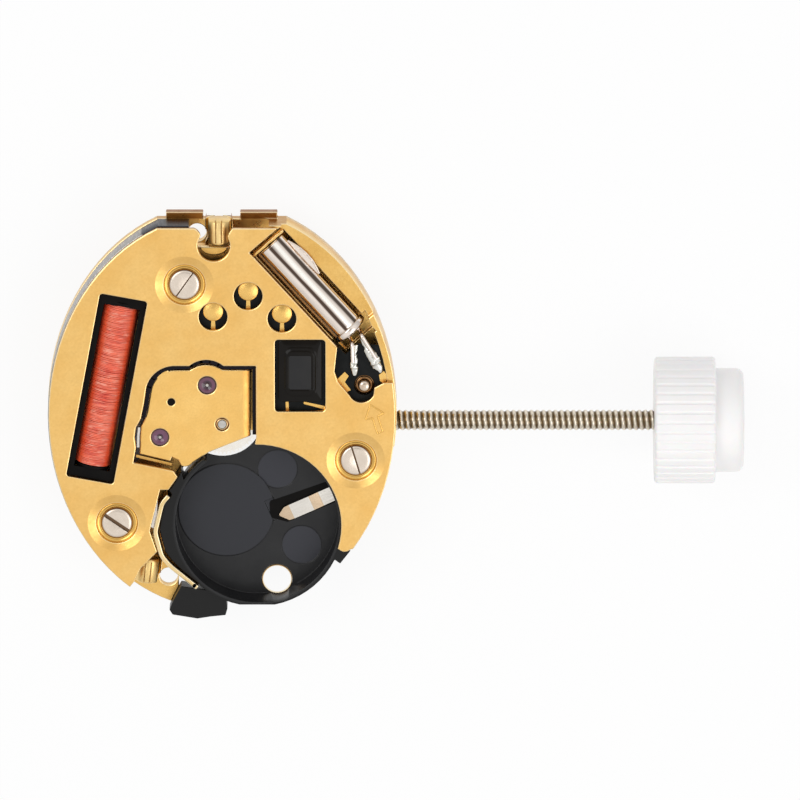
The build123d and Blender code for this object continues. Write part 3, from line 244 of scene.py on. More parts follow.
def satin_metal(
    name, pale, deep, rough=(0.28, 0.42), grain=0.05, depth=0.0035,
    top=None, low=None, edge=None, wells=(), rolled=None, beyond=None,
):
    """Plated or rolled metal with a blasted grain and faint stains.

    top is the height of the polished face, and low is the colour of painted shade on
    what lies below it. edge is a pale burnished colour on rounded edges that also paints
    their highlight. The metal is pressed down round each of wells. rolled is where along
    X a rolled edge starts and ends, its fall and the colour of painted shade over it,
    and beyond is a place along Y with the colour after it.
    """
    tree = Tree(name, Metallic=1.0)
    darker = tuple(0.82 * channel for channel in deep)
    colour = tree.mix(tree.spread(tree.noise(1.6, 4), 0, 1, 0.35, 0.72), pale, deep)
    colour = tree.mix(tree.spread(tree.noise(grain * 2, 2), 0, 0.35, 0.3, 0.75), colour, darker)
    roughness = tree.spread(tree.noise(0.5, 3), *rough)
    layers = [(tree.noise(grain, 2, 0.6), depth), (tree.noise(grain * 7, 2), depth * 1.5)]
    if top is not None:
        # painted shade on the walls below the polished face
        colour = tree.mix(tree.spread(tree.along("Z"), 1, 0, top - wall_end, top - wall_start), colour, low)
    if beyond is not None:
        place, tint = beyond
        colour = tree.mix(tree.spread(tree.along("Y"), 0, 1, place - place_border, place), colour, tint)
    if rolled is not None:
        start, end, fall, tint = rolled
        # painted shade on the rolled edge as it falls away
        colour = tree.mix(tree.spread(tree.along("X"), 0, 0.85, start, end - 0.06), colour, tint)
        run = tree.spread(tree.along("X"), 0, 1, start, end)
        layers.append((tree.calc("SUBTRACT", 1, tree.calc("MULTIPLY", run, run)), fall))
    if edge is not None:
        # a pale burnished colour on rounded edges that also paints their highlight
        burnish_highlight_mask = tree.edges()
        colour = tree.mix(burnish_highlight_mask, colour, edge)
        roughness = tree.calc("SUBTRACT", roughness, tree.calc("MULTIPLY", burnish_highlight_mask, 0.12))
    rises = [tree.spread(tree.distance((x, y, 0)), 0, 1, well_radius, well_reach) for x, y in wells]
    if rises:
        height = rises[0]
        for rise in rises[1:]:
            height = tree.calc("MINIMUM", height, rise)
        layers.append((height, well_depth))
    tree.paint(colour, roughness, *layers)


def brushed_metal(
    name, pale, deep, turn=0.0, rough=(0.22, 0.36), stretch=(0.06, 1.0, 1.0), depth=0.002, grain=0.05,
    beyond=None, thread=None,
):
    """Sheet or bar metal with fine lines along one direction.

    thread is the height of a screw's axis along X, its root and crest radii, and the
    colour of painted shade in the root.
    """
    tree = Tree(name, Metallic=1.0, Anisotropic=0.35)
    lines = tree.noise(grain, 3, 0.6, tree.stretch(stretch, turn))
    worn = tree.calc("MULTIPLY", tree.spread(lines, 0, 1), tree.spread(tree.noise(0.9, 3), 0.4, 1))
    colour = tree.mix(worn, pale, deep)
    if beyond is not None:
        place, tint = beyond
        colour = tree.mix(tree.spread(tree.along("Y"), 0, 1, place - place_border, place), colour, tint)
    if thread is not None:
        height, root, crest, tint = thread
        reach = tree.distance((0, 0, height), (0, 1, 1))
        # painted shade in the thread's roots
        colour = tree.mix(tree.spread(reach, 1, 0, root, crest), colour, tint)
    tree.paint(colour, tree.spread(lines, *rough), (lines, depth))


def turned_metal(
    name, pale, deep, centre=(0, 0, 0), rough=(0.12, 0.26), pitch=0.03, depth=0.0012, slot=None,
):
    """Turned metal with fine rings about a place.

    slot is the height below which a screw's slot takes a colour of painted shade, and that colour.
    """
    tree = Tree(name, Metallic=1.0)
    feeds = {
        "Vector": tree.vector("SUBTRACT", tree.place, Vector(centre) * MM), "Scale": 1 / (20 * pitch * MM),
        "Distortion": 1.2, "Detail": 2.0,
    }
    wave = tree.add("ShaderNodeTexWave", feeds, "Fac", wave_type="RINGS", rings_direction="Z")
    stain = tree.noise(0.25, 3)
    colour = tree.mix(tree.spread(stain, 0, 1), pale, deep)
    if slot is not None:
        height, tint = slot
        # painted shade in the slot below that height
        colour = tree.mix(tree.spread(tree.along("Z"), 1, 0, height - 0.02, height), colour, tint)
    tree.paint(colour, tree.spread(stain, *rough), (wave, depth))


def plastic(
    name, pale, deep, rough=(0.35, 0.5), grain=0.06, depth=0.002, coat=0.0, specular=0.5, soft=0.0, marks=(),
    outside=None,
):
    """Moulded plastic with a fine grain and faint flow marks.

    marks are round ejector marks, as (x, y, radius, colour), and outside is a round
    beyond which the plastic has another colour.
    """
    tree = Tree(
        name, Coat_Weight=coat, Specular_IOR_Level=specular, Subsurface_Weight=soft,
        Subsurface_Scale=0.4 * MM,
    )
    colour = tree.mix(tree.spread(tree.noise(1.1, 3), 0, 1), pale, deep)
    for x, y, radius, tint in marks:
        inside = tree.spread(tree.distance((x, y, 0)), 1, 0, radius - mark_border, radius)
        colour = tree.mix(inside, colour, tint)
    if outside is not None:
        x, y, radius, tint = outside
        past = tree.spread(tree.distance((x, y, 0)), 0, 1, radius, radius + mark_border)
        colour = tree.mix(past, colour, tint)
    roughness = tree.spread(tree.noise(0.35, 3), *rough)
    tree.paint(colour, roughness, (tree.noise(grain, 2), depth), (tree.noise(0.8, 2), depth * 3))


def wire_enamel():
    """Red enamelled wire, with painted shade in the grooves between its turns and at the sides, and painted
    highlights along the turns.
    """
    tree = Tree("coil_wire", Coat_Weight=0.35, Coat_Roughness=0.25, Specular_IOR_Level=0.55)
    streak = tree.noise(0.11, 3, 0.6, tree.stretch((0.16, 1.0, 0.12), coil_lean))
    painted_glint = tree.noise(0.10, 2, 0.6, tree.stretch((0.22, 1.0, 0.16), 6.0))
    aside = tree.calc("ABSOLUTE", tree.across(coil_middle, coil_lean))
    # painted shade in the grooves between the turns
    colour = tree.mix(tree.spread(streak, 0, 1, 0.38, 0.62), (0.97, 0.150, 0.075), (0.62, 0.040, 0.020))
    colour = tree.mix(tree.spread(tree.noise(0.9, 2), 0, 0.6), colour, (0.98, 0.27, 0.15))
    # painted highlights along the turns
    colour = tree.mix(tree.spread(painted_glint, 0, 0.75, 0.54, 0.68), colour, (1.0, 0.42, 0.30))
    # painted shade across the round coil: saturated orange, then dark red at its sides
    colour = tree.mix(tree.spread(aside, 0, 0.8, 0.44, 0.56), colour, (0.95, 0.10, 0.025))
    colour = tree.mix(tree.spread(aside, 0, 1, 0.66, 0.80), colour, (0.36, 0.022, 0.008))
    tree.paint(colour, tree.spread(streak, 0.28, 0.45), (streak, 0.004))


def ruby_stone(name, centre, rings):
    """Polished synthetic ruby, with rings of painted shade and reflection at its hole, cup and rim."""
    tree = Tree(name, Coat_Weight=0.5, Coat_Roughness=0.03, Specular_IOR_Level=0.5)
    cloud = tree.noise(0.3, 3)
    # rings of painted shade and reflection round the jewel's axis
    colour = tree.ramp(tree.distance(centre), rings)
    colour = tree.mix(tree.spread(cloud, 0, 0.5), colour, (0.10, 0.02, 0.05))
    tree.paint(colour, tree.spread(cloud, 0.05, 0.12), (tree.noise(0.12, 2), 0.0008))


def board_lacquer():
    """Black lacquered board with the faint weave of its glass cloth."""
    tree = Tree("board", Specular_IOR_Level=0.08)
    weave = tree.add("ShaderNodeTexChecker", {"Vector": tree.place, "Scale": 1 / (0.09 * MM)}, "Fac")
    cloud = tree.noise(0.5, 3)
    colour = tree.mix(tree.spread(cloud, 0, 1), (0.006, 0.007, 0.007), (0.013, 0.014, 0.014))
    tree.paint(colour, tree.spread(cloud, 0.3, 0.5), (weave, 0.0006), (cloud, 0.004))


def can_metal(name, painted_reflections=()):
    """Drawn nickel silver with lengthwise draw marks.

    The bands of painted reflection along the can are given as (place across the can,
    reach to each side, colour), and with them the left flank is made less metallic, so
    that it shows gold as a painted reflection.
    """
    tree = Tree(name, Metallic=1.0)
    fine = tree.noise(0.03, 3, 0.6, tree.stretch((0.06, 1.0, 1.0), -can_turn))
    broad = tree.noise(0.30, 2, 0.5, tree.stretch((0.10, 1.0, 0.6), -can_turn))
    colour = tree.mix(tree.spread(fine, 0, 1), (0.92, 0.83, 0.75), (0.80, 0.70, 0.62))
    if painted_reflections:
        aside = tree.across(can_root, -can_turn - 90)
        aside = tree.calc("ADD", aside, tree.spread(broad, -0.02, 0.02))
        # bands of painted reflection across the can
        for place, reach, tint in painted_reflections:
            off = tree.calc("ABSOLUTE", tree.calc("SUBTRACT", aside, place))
            colour = tree.mix(tree.spread(off, 1, 0, 0.45 * reach, reach), colour, tint)
        # painted reflection: the left flank is less metallic, so that it shows gold
        tree.feed(tree.inputs["Metallic"], tree.spread(aside, 0.3, 1, -0.62, -0.50))
    tree.paint(colour, tree.spread(fine, 0.07, 0.16), (fine, 0.0006), (broad, 0.004))


# The third gold is a burnished edge colour that also paints highlights, and the low gold below it is painted
# shade in recesses.
gold_pale, gold_deep, gold_burnish_highlight = (0.92, 0.59, 0.205), (0.86, 0.51, 0.150), (1.0, 0.86, 0.55)
gold_recess_shade = (0.50, 0.22, 0.045)
# The jewels' ring colours paint the shade in their holes and the reflections in their cups and rims.
ruby_dark, ruby_deep, ruby_pale = (0.010, 0.003, 0.006), (0.030, 0.010, 0.022), (0.150, 0.050, 0.095)
cup_rings = ((0.12, ruby_dark), (0.19, ruby_deep), (0.23, ruby_pale), (0.33, ruby_pale), (0.36, ruby_dark))
flat_rings = (
    (0.05, ruby_pale), (0.12, ruby_deep), (0.17, (0.19, 0.065, 0.14)), (0.33, ruby_pale), (0.365, ruby_dark),
)
mark_grey, boss_grey = (0.036, 0.037, 0.046), (0.027, 0.028, 0.034)
marks = ((2.39, -2.35, 0.87, mark_grey), (3.43, -5.78, 0.87, mark_grey), (0.15, -4.18, 2.10, boss_grey))
tab_shade_start, spacer_end = 9.0, 8.6
thread_root, thread_depth = 0.38, 0.07
leaf_lines = -23

# Each finish by its name, two colours and settings
# In these finishes the low colours below the polished faces are painted shade, and the edge colours are
# burnished edges that also paint their highlights.
satin_metal(
    "gilt_cover", gold_pale, gold_deep, top=cover_top, low=gold_recess_shade, edge=gold_burnish_highlight,
    wells=[place[:2] for place in screw_places.values()],
)
# The rolled colour is painted shade where the bridge's edge falls away.
satin_metal(
    "gilt_bridge", (0.97, 0.62, 0.205), (0.88, 0.52, 0.145), grain=0.04, top=bridge_top,
    low=(0.40, 0.16, 0.03), edge=gold_burnish_highlight, rolled=(0.86, 1.30, 0.13, (0.70, 0.29, 0.05)),
)
satin_metal(
    "gilt_seat", (0.90, 0.56, 0.16), (0.80, 0.46, 0.11), rough=(0.14, 0.22), grain=0.03, depth=0.001,
    top=1.90, low=(0.20, 0.08, 0.015),
)
# The plate's tabs, past their place along Y, take a colour of painted shade.
satin_metal(
    "gilt_plate", (0.88, 0.56, 0.18), (0.76, 0.44, 0.115), rough=(0.24, 0.40), edge=gold_burnish_highlight,
    beyond=(tab_shade_start, (0.33, 0.13, 0.025)),
)
satin_metal("gilt_pad", (0.93, 0.60, 0.19), (0.85, 0.50, 0.13), rough=(0.2, 0.3), grain=0.03)
satin_metal(
    "contact_gilt", (0.93, 0.72, 0.40), (0.86, 0.62, 0.28), rough=(0.16, 0.28), grain=0.04, depth=0.0015,
    top=1.93, low=(0.55, 0.30, 0.08), edge=(1.0, 0.90, 0.66),
)
satin_metal("lock_brass", (0.95, 0.70, 0.32), (0.86, 0.57, 0.20), rough=(0.30, 0.42), grain=0.04)
satin_metal("solder", (0.84, 0.83, 0.78), (0.66, 0.65, 0.58), rough=(0.08, 0.2), grain=0.10, depth=0.012)
turned_metal("wheel_gilt", (0.90, 0.62, 0.26), (0.78, 0.48, 0.16))
turned_metal("wheel_pale", (0.93, 0.90, 0.84), (0.88, 0.83, 0.75), rough=(0.2, 0.3))
turned_metal("bright_brass", (0.80, 0.56, 0.24), (0.56, 0.34, 0.11))
turned_metal("screw_steel", (0.76, 0.66, 0.56), (0.70, 0.60, 0.50), rough=(0.2, 0.3))
turned_metal("button_steel", (0.86, 0.76, 0.64), (0.62, 0.48, 0.36), centre=button_axis, rough=(0.1, 0.22))
turned_metal(
    "collar_bronze", (0.34, 0.19, 0.085), (0.16, 0.075, 0.028), centre=button_axis, rough=(0.12, 0.24),
)
brushed_metal("pinion_steel", (0.62, 0.60, 0.56), (0.42, 0.40, 0.37))
brushed_metal("sheet_steel", (0.66, 0.65, 0.62), (0.48, 0.47, 0.45), turn=20)
brushed_metal("soft_iron", (0.40, 0.40, 0.40), (0.26, 0.26, 0.26), turn=80, rough=(0.35, 0.5))
brushed_metal("magnet", (0.16, 0.16, 0.17), (0.10, 0.10, 0.11), rough=(0.35, 0.5))
brushed_metal(
    "grey_spacer", (0.44, 0.42, 0.40), (0.27, 0.26, 0.25), rough=(0.3, 0.45), stretch=(1, 1, 0.08),
    depth=0.003, beyond=(spacer_end, (0.055, 0.055, 0.065)),
)
brushed_metal(
    "contact_silver", (0.78, 0.74, 0.68), (0.66, 0.62, 0.56), turn=leaf_lines, rough=(0.16, 0.28),
    depth=0.001,
)
# A tan colour of painted shade, for the sloping bend and tip of the battery's negative leaf.
brushed_metal(
    "contact_tan", (0.70, 0.54, 0.38), (0.56, 0.41, 0.27), turn=leaf_lines, rough=(0.14, 0.24),
    depth=0.001,
)
# The thread's root colour is painted shade.
brushed_metal(
    "stem_steel", (0.86, 0.78, 0.66), (0.62, 0.54, 0.42), rough=(0.14, 0.26), grain=0.04,
    thread=(stem_height, thread_root + 0.005, thread_root + 0.062, (0.13, 0.085, 0.040)),
)
plastic("black_plastic", (0.004, 0.004, 0.004), (0.008, 0.007, 0.006), specular=0.06)
plastic("module_frame", (0.006, 0.005, 0.008), (0.010, 0.008, 0.014), specular=0.12)
plastic(
    "insulator", (0.013, 0.013, 0.014), (0.020, 0.020, 0.021), rough=(0.30, 0.44), grain=0.045,
    depth=0.0022, specular=0.3, marks=marks, outside=(*bay_middle, 3.62, (0.003, 0.003, 0.003)),
)
plastic(
    "epoxy", (0.005, 0.004, 0.003), (0.009, 0.007, 0.005), rough=(0.08, 0.16), coat=0.12, depth=0.006,
    grain=0.3, specular=0.08,
)
plastic(
    "chip_slate", (0.016, 0.016, 0.017), (0.022, 0.021, 0.021), rough=(0.4, 0.5), depth=0.001,
    specular=0.25,
)
plastic("white_plastic", (1.0, 0.985, 0.98), (0.97, 0.95, 0.94), rough=(0.28, 0.4), soft=0.15, depth=0.001)
wire_enamel()
board_lacquer()
ruby_stone("ruby", rotor_axis, flat_rings)
can_metal("can_metal")
# Bands of painted reflection: the gilt wall in the left flank, and dark and white bands along the can.
can_metal("can_painted_reflections", (
    (-0.72, 0.30, (0.86, 0.48, 0.18)), (0.01, 0.12, (0.09, 0.06, 0.045)), (0.24, 0.12, (1.0, 0.97, 0.90)),
    (0.49, 0.09, (0.13, 0.10, 0.08)),
))


# Meshes
weld_distance = 0.0001


def mesh_of(name, verts, faces):
    """A mesh from millimetres, with its doubles merged and its faces turned outwards."""
    mesh = bpy.data.meshes.new(name)
    mesh.from_pydata([Vector(vert) * MM for vert in verts], [], faces)
    work = bmesh.new()
    work.from_mesh(mesh)
    bmesh.ops.remove_doubles(work, verts=work.verts, dist=weld_distance * MM)
    bmesh.ops.recalc_face_normals(work, faces=work.faces)
    work.to_mesh(mesh)
    work.free()
    return mesh


def shown(name, mesh):
    """A new object of the scene with that mesh, lamp or camera."""
    made = bpy.data.objects.new(name, mesh)
    scene.collection.objects.link(made)
    return made


def piece(name, skin, node, slot, angle=38, replaces=(), finish=None):
    """A new piece, from (verts, faces) in the part's frame, that rides with a node's body."""
    mesh = mesh_of(name, *skin)
    mesh.polygons.foreach_set("use_smooth", [True] * len(mesh.polygons))
    mesh.set_sharp_from_angle(angle=math.radians(angle))
    mesh.materials.append(finishes[finish or slot])
    made = shown(name, mesh)
    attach(made, body_of_node[node])
    if replaces:
        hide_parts(*replaces)
    return made


def walls(rows, count):
    """The faces between rows of corners, each of which closes round on itself."""
    pairs = [(index, (index + 1) % count) for index in range(count)]
    return [
        (start + here, start + after, start + count + after, start + count + here)
        for start in range(0, (rows - 1) * count, count) for here, after in pairs
    ]


def closed_skin(rings):
    """A skin over rings of equal length, closed at both ends."""
    count = len(rings[0])
    last = (len(rings) - 1) * count
    ends = [tuple(range(count - 1, -1, -1)), tuple(range(last, last + count))]
    return [corner for ring in rings for corner in ring], ends + walls(len(rings), count)


def stacked(loops):
    """A closed skin over (corners, height) loops of equal length, from the bottom up."""
    return closed_skin([[(corner[0], corner[1], height) for corner in corners] for corners, height in loops])


def prism(corners, low, high):
    """A flat outline between two heights."""
    return stacked([(corners, low), (corners, high)])


def box(centre, way, left, reach, side, low, high):
    """An upright box that runs over a reach along a way and over another to its left."""
    (start, end), (right, far) = reach, side
    corners = [
        centre + way * along + left * aside
        for along, aside in ((start, right), (end, right), (end, far), (start, far))
    ]
    return prism(corners, low, high)


def gather(*skins):
    """Several (verts, faces) as one."""
    verts, faces = [], []
    for more_verts, more_faces in skins:
        start = len(verts)
        verts += [Vector(vert) for vert in more_verts]
        faces += [tuple(index + start for index in face) for face in more_faces]
    return verts, faces


def spun(profile, place=(0, 0, 0), axis=(0, 0, 1), count=96, ripple=None):
    """A surface turned about an axis from (along, radius) points.

    ripple(along, radius, angle) gives the radius there, for flutes and threads.
    """
    axis = Vector(axis).normalized()
    side = axis.orthogonal().normalized() if abs(axis.z) < 0.9 else Vector((1, 0, 0))
    side = (side - axis * side.dot(axis)).normalized()
    other = axis.cross(side)
    verts = []
    for along, radius in profile:
        middle = Vector(place) + axis * along
        for index in range(count):
            angle = 2 * math.pi * index / count
            reach = ripple(along, radius, angle) if ripple else radius
            verts.append(middle + side * (reach * math.cos(angle)) + other * (reach * math.sin(angle)))
    return verts, walls(len(profile), count)


def rounding(middle, radius, start, end, steps):
    """The (along, radius) points of a profile's arc between two angles in degrees."""
    angles = [math.radians(start + (end - start) * step / steps) for step in range(steps + 1)]
    return [(middle[0] + radius * math.cos(angle), middle[1] + radius * math.sin(angle)) for angle in angles]


def ways_of(points):
    """The direction of a path at each of its points."""
    ends = [points[0], *points, points[-1]]
    return [(after - before).normalized() for before, after in zip(ends, ends[2:])]


def tube(points, radius, count=16):
    """A round tube through points. radius may be a function of the share of the way."""
    ways = ways_of(points)
    side = ways[0].orthogonal().normalized()
    rings = []
    for index, (point, way) in enumerate(zip(points, ways)):
        side = (side - way * side.dot(way)).normalized()
        other = way.cross(side)
        reach = radius(index / (len(points) - 1)) if callable(radius) else radius
        ring = []
        for step in range(count):
            angle = 2 * math.pi * step / count
            ring.append(point + side * (reach * math.cos(angle)) + other * (reach * math.sin(angle)))
        rings.append(ring)
    return closed_skin(rings)


def rounded_corners(points, reach, steps=5):
    """A path whose inner corners are rounded over a reach on each side."""
    points = [Vector(point) for point in points]
    path = [points[0]]
    for before, corner, after in zip(points, points[1:], points[2:]):
        start = corner + (before - corner).normalized() * reach
        end = corner + (after - corner).normalized() * reach
        for step in range(steps + 1):
            share = step / steps
            path.append((1 - share) ** 2 * start + 2 * share * (1 - share) * corner + share ** 2 * end)
    path.append(points[-1])
    return path


def sides(points, width):
    """The left and the right edge of a band of a width along a flat path."""
    points = [Vector(point) for point in points]
    shifts = [Vector((-way.y, way.x)) * (width / 2) for way in ways_of(points)]
    left = [point + shift for point, shift in zip(points, shifts)]
    right = [point - shift for point, shift in zip(points, shifts)]
    return left, right


def band(points, width, low, high):
    """An upright band along a flat path, in quads."""
    return closed_skin([
        [(*left, low), (*right, low), (*right, high), (*left, high)]
        for left, right in zip(*sides(points, width))
    ])


def rounded_box(centre, width, length, corner, steps=6):
    """The corners of a rectangle with round corners."""
    corners = []
    for quarter, (across, along) in enumerate(((1, 1), (-1, 1), (-1, -1), (1, -1))):
        x = centre[0] + across * (width / 2 - corner)
        y = centre[1] + along * (length / 2 - corner)
        for step in range(steps + 1):
            angle = math.pi / 2 * (quarter + step / steps)
            corners.append((x + corner * math.cos(angle), y + corner * math.sin(angle)))
    return corners


def round_edges(target, width, segments=2):
    """Rounds an object's sharp edges with modifiers, its mesh left as it is."""
    settled(target.modifiers.new("weld", "WELD"), merge_threshold=5 * weld_distance * MM)
    settled(
        target.modifiers.new("round", "BEVEL"), width=width * MM, segments=segments, limit_method="ANGLE",
        angle_limit=math.radians(35), use_clamp_overlap=False, loop_slide=False, miter_outer="MITER_SHARP",
    )
    settled(
        target.modifiers.new("shade", "WEIGHTED_NORMAL"), mode="FACE_AREA", weight=60, keep_sharp=True,
    )


def finished(target, width, segments=2, cutters=()):
    """Cuts the cutters out of a piece and rounds its edges, in its mesh."""
    tools = [shown("cutter", mesh_of("cutter", *skin)) for skin in cutters]
    for cutter in tools:
        settled(target.modifiers.new("cut", "BOOLEAN"), object=cutter, operation="DIFFERENCE")
    round_edges(target, width, segments)
    bpy.context.view_layer.update()
    rounded = target.evaluated_get(bpy.context.evaluated_depsgraph_get())
    mesh = bpy.data.meshes.new_from_object(rounded)
    target.modifiers.clear()
    target.data = mesh
    for cutter in tools:
        bpy.data.objects.remove(cutter)
    return target


# Finishes on the CAD nodes
slots = {entry["node"]: entry["material_slot"] for entry in record["subparts"]}
edge_widths = {
    "main_plate": 0.035, "cover_plate": 0.045, "train_bridge": 0.05, "module_spacer": 0.03,
    "battery_insulator": 0.03, "circuit_board": 0.015, "coil_flanges": 0.03, "coil_terminal": 0.04,
    "motion_cover": 0.015,
}
for name, shape in nodes.items():
    shape.data.materials.clear()
    shape.data.materials.append(finishes[slots[name]])
    if name in edge_widths:
        round_edges(shape, edge_widths[name])


# Coil
wire_radius, wire_pitch = 0.037, 0.066
winding_half, winding_radius, winding_core = 3.64, 0.730, 0.672
winding_stretch = 0.09


def coil_place(along, aside, up, middle=coil_middle):
    """A place in the coil's own directions: along it, to its right and up."""
    return middle + coil_way * along - coil_left * aside + Vector((0, 0, up))


def fine_winding():
    """The coil's fine wire: close, slightly uneven turns over a solid core."""
    dice = random.Random(7)
    turns = int(2 * winding_half / wire_pitch)
    steps = 28
    pitch = 2 * (winding_half - wire_radius) / turns
    points = []
    shift, lean = 0.0, 0.0
    for turn in range(turns):
        shift = 0.6 * shift + dice.uniform(-0.012, 0.012)
        lean = 0.7 * lean + dice.uniform(-0.010, 0.010)
        swell = dice.uniform(-0.010, 0.0)
        for step in range(steps):
            angle = 2 * math.pi * step / steps
            along = wire_radius - winding_half + (turn + step / steps) * pitch
            along += shift * math.sin(angle / 2) + lean * math.sin(angle)
            reach = winding_radius - wire_radius + swell * math.sin(angle / 2)
            aside = (1 + winding_stretch) * reach * math.cos(angle)
            points.append(coil_place(along, aside, reach * math.sin(angle)))
    start = coil_place(-winding_half, 0, 0)
    length = 2 * winding_half
    profile = [(0, 0), (0, winding_core), (length, winding_core), (length, 0)]
    verts, faces = spun(profile, start, coil_way, 48)
    verts = [vert + coil_left * (winding_stretch * (vert - start).dot(coil_left)) for vert in verts]
    return gather(tube(points, wire_radius, 6), (verts, faces))


piece("coil_fine_wire", fine_winding(), "coil_winding", "coil_wire", 80, ("coil_winding", "coil_body"))

# The black mask that frames the coil in its window, as (half width, half length).
# It stands for the coil's black bobbin and also paints the shade round the coil.
mask_middle = Vector((-4.99, 1.72, 0))
mask_outside, mask_inside = (1.025, 4.165), (0.785, 3.70)
mask_low, mask_high = 1.702, 1.76
verts = [
    coil_place(along * length, aside * width, height, mask_middle)
    for (width, length), height in (
        (mask_outside, mask_low), (mask_inside, mask_low), (mask_inside, mask_high),
        (mask_outside, mask_high), (mask_outside, mask_low),
    )
    for aside, along in ((-1, -1), (1, -1), (1, 1), (-1, 1))
]
round_edges(piece("coil_mask", (verts, walls(5, 4)), "coil_flanges", "black_plastic"), 0.02)

# Screws of the cover, each in a pressed ring
screw_profile = (
    (0.30, 0), (0.30, 0.27), (0.33, 0.30), (1.82, 0.30), (1.82, 0.63), (1.84, 0.65), (1.925, 0.65),
    (1.955, 0.625), (1.975, 0.57), (1.98, 0.50), (1.98, 0),
)
seat_profile = (
    (1.81, 0.69), (1.835, 0.70), (1.845, 0.73), (1.835, 0.76), (1.845, 0.79), (1.868, 0.82), (1.868, 0.85),
    (1.85, 0.875), (1.81, 0.89), (1.81, 0.69),
)
slot_widths = {"a": 0.055, "b": 0.15, "c": 0.07}
slot_reach, slot_floor, slot_top = 0.8, 1.88, 2.10
for key, (x, y, turn) in screw_places.items():
    centre = Vector((x, y, 0))
    steel = "screw_steel_" + key
    # The slot colour is painted shade inside each screw's slot.
    turned_metal(
        steel, (0.78, 0.68, 0.58), (0.72, 0.62, 0.52), centre, rough=(0.24, 0.34),
        slot=(cover_top, (0.16, 0.10, 0.06)),
    )
    screw = piece(
        "cover_screw_" + key, spun(screw_profile, centre), "cover_screws", "screw_steel",
        replaces=("cover_screws",) if key == "a" else (), finish=steel,
    )
    half = slot_widths[key] / 2
    cutter = box(centre, *directions(turn), (-slot_reach, slot_reach), (-half, half), slot_floor, slot_top)
    finished(screw, 0.010, 2, [cutter])
    seat = spun(seat_profile, centre)
    piece("screw_seat_" + key, seat, "cover_plate", "gilt_cover", 70, finish="gilt_seat")

# Jewels, and what shows in the bridge's holes
for key, node, centre, radius, rings in (
    ("third", "third_wheel_jewel", third_axis, 0.40, cup_rings),
    ("rotor", "rotor_jewel", rotor_axis, 0.39, flat_rings),
):
    profile = [
        (1.28, 0.08), (1.28, radius - 0.02), (1.30, radius), (1.44, radius), (1.475, radius - 0.04),
        (1.482, 0.26), (1.47, 0.22), (1.44, 0.14), (1.42, 0.08), (1.28, 0.08),
    ]
    stone = "ruby_" + key
    ruby_stone(stone, centre, rings)
    piece(key + "_jewel_stone", spun(profile, centre, count=72), node, "ruby", 30, (node,), stone)

tip_profile = ((1.40, 0), (1.40, 0.072), (1.45, 0.072), (1.468, 0.055), (1.476, 0))
tip = spun(tip_profile, third_axis, count=48)
piece("third_pivot_tip", tip, "third_pinion", "screw_steel", 50)
# A black disc in the intermediate wheel's hole, which paints the shade down the hole.
hole_shade_profile = ((1.44, 0), (1.44, 0.145), (1.478, 0.148), (1.488, 0.138), (1.484, 0.10), (1.4805, 0))
hole_shade = spun(hole_shade_profile, intermediate_axis, count=48)
piece("intermediate_hole_shade", hole_shade, "intermediate_pinion", "black_plastic", 50)
bush_profile = (
    (1.21, 0.20), (1.21, 0.285), (1.34, 0.285), (1.35, 0.245), (1.488, 0.240), (1.498, 0.222),
    (1.498, 0.208), (1.488, 0.197), (1.21, 0.20),
)
bush = spun(bush_profile, count=64)
piece("centre_bush_ring", bush, "centre_bush", "contact_gilt", 40, ("centre_bush",))

# Crystal
can_length, can_radius, can_corner = 5.0, 0.74, 0.10
profile = [(0, 0)]
profile += rounding((can_corner, can_radius - can_corner), can_corner, 180, 90, 6)
profile += [(along, can_radius) for along in (1.2, 2.6, 3.9, 4.90)]
profile += [(4.97, 0.735), (can_length, 0.72), (can_length, 0)]
can = spun(profile, can_root, can_way, 128)
piece("crystal_can", can, "quartz_can", "can_metal", 50, ("quartz_can",), "can_painted_reflections")
base_profile = (
    (can_length, 0), (can_length, can_radius), (5.03, 0.785), (5.08, 0.80), (5.22, 0.80), (5.27, 0.785),
    (5.30, 0.74), (5.29, 0.66), (5.30, 0.54), (5.30, 0.52), (5.355, 0.50), (5.375, 0.42), (5.38, 0),
)
base = spun(base_profile, can_root, can_way, 128)
piece("crystal_base", base, "quartz_base", "can_metal", 50, ("quartz_base",))

# Stem
stem_root = (0, 0, stem_height)
stem_start, stem_end = ends_of("stem", 0)
crown_start, crown_end = ends_of("crown", 0)
thread_start, thread_pitch, thread_fade = 7.10, 0.26, 0.3
flank_slope, root_share = 3.2, 0.28
steps_per_turn = 14


def thread_radius(along, radius, angle):
    """The radius of the stem's right-handed thread."""
    if along < thread_start + weld_distance or along > crown_start - weld_distance:
        return radius
    share = ((along - thread_start) / thread_pitch - angle / (2 * math.pi)) % 1.0
    rise = max(0.0, min(1.0, (0.5 - abs(share - 0.5)) * flank_slope - root_share))
    fade = min(1.0, (along - thread_start) / thread_fade)
    return thread_root + thread_depth * rise * fade


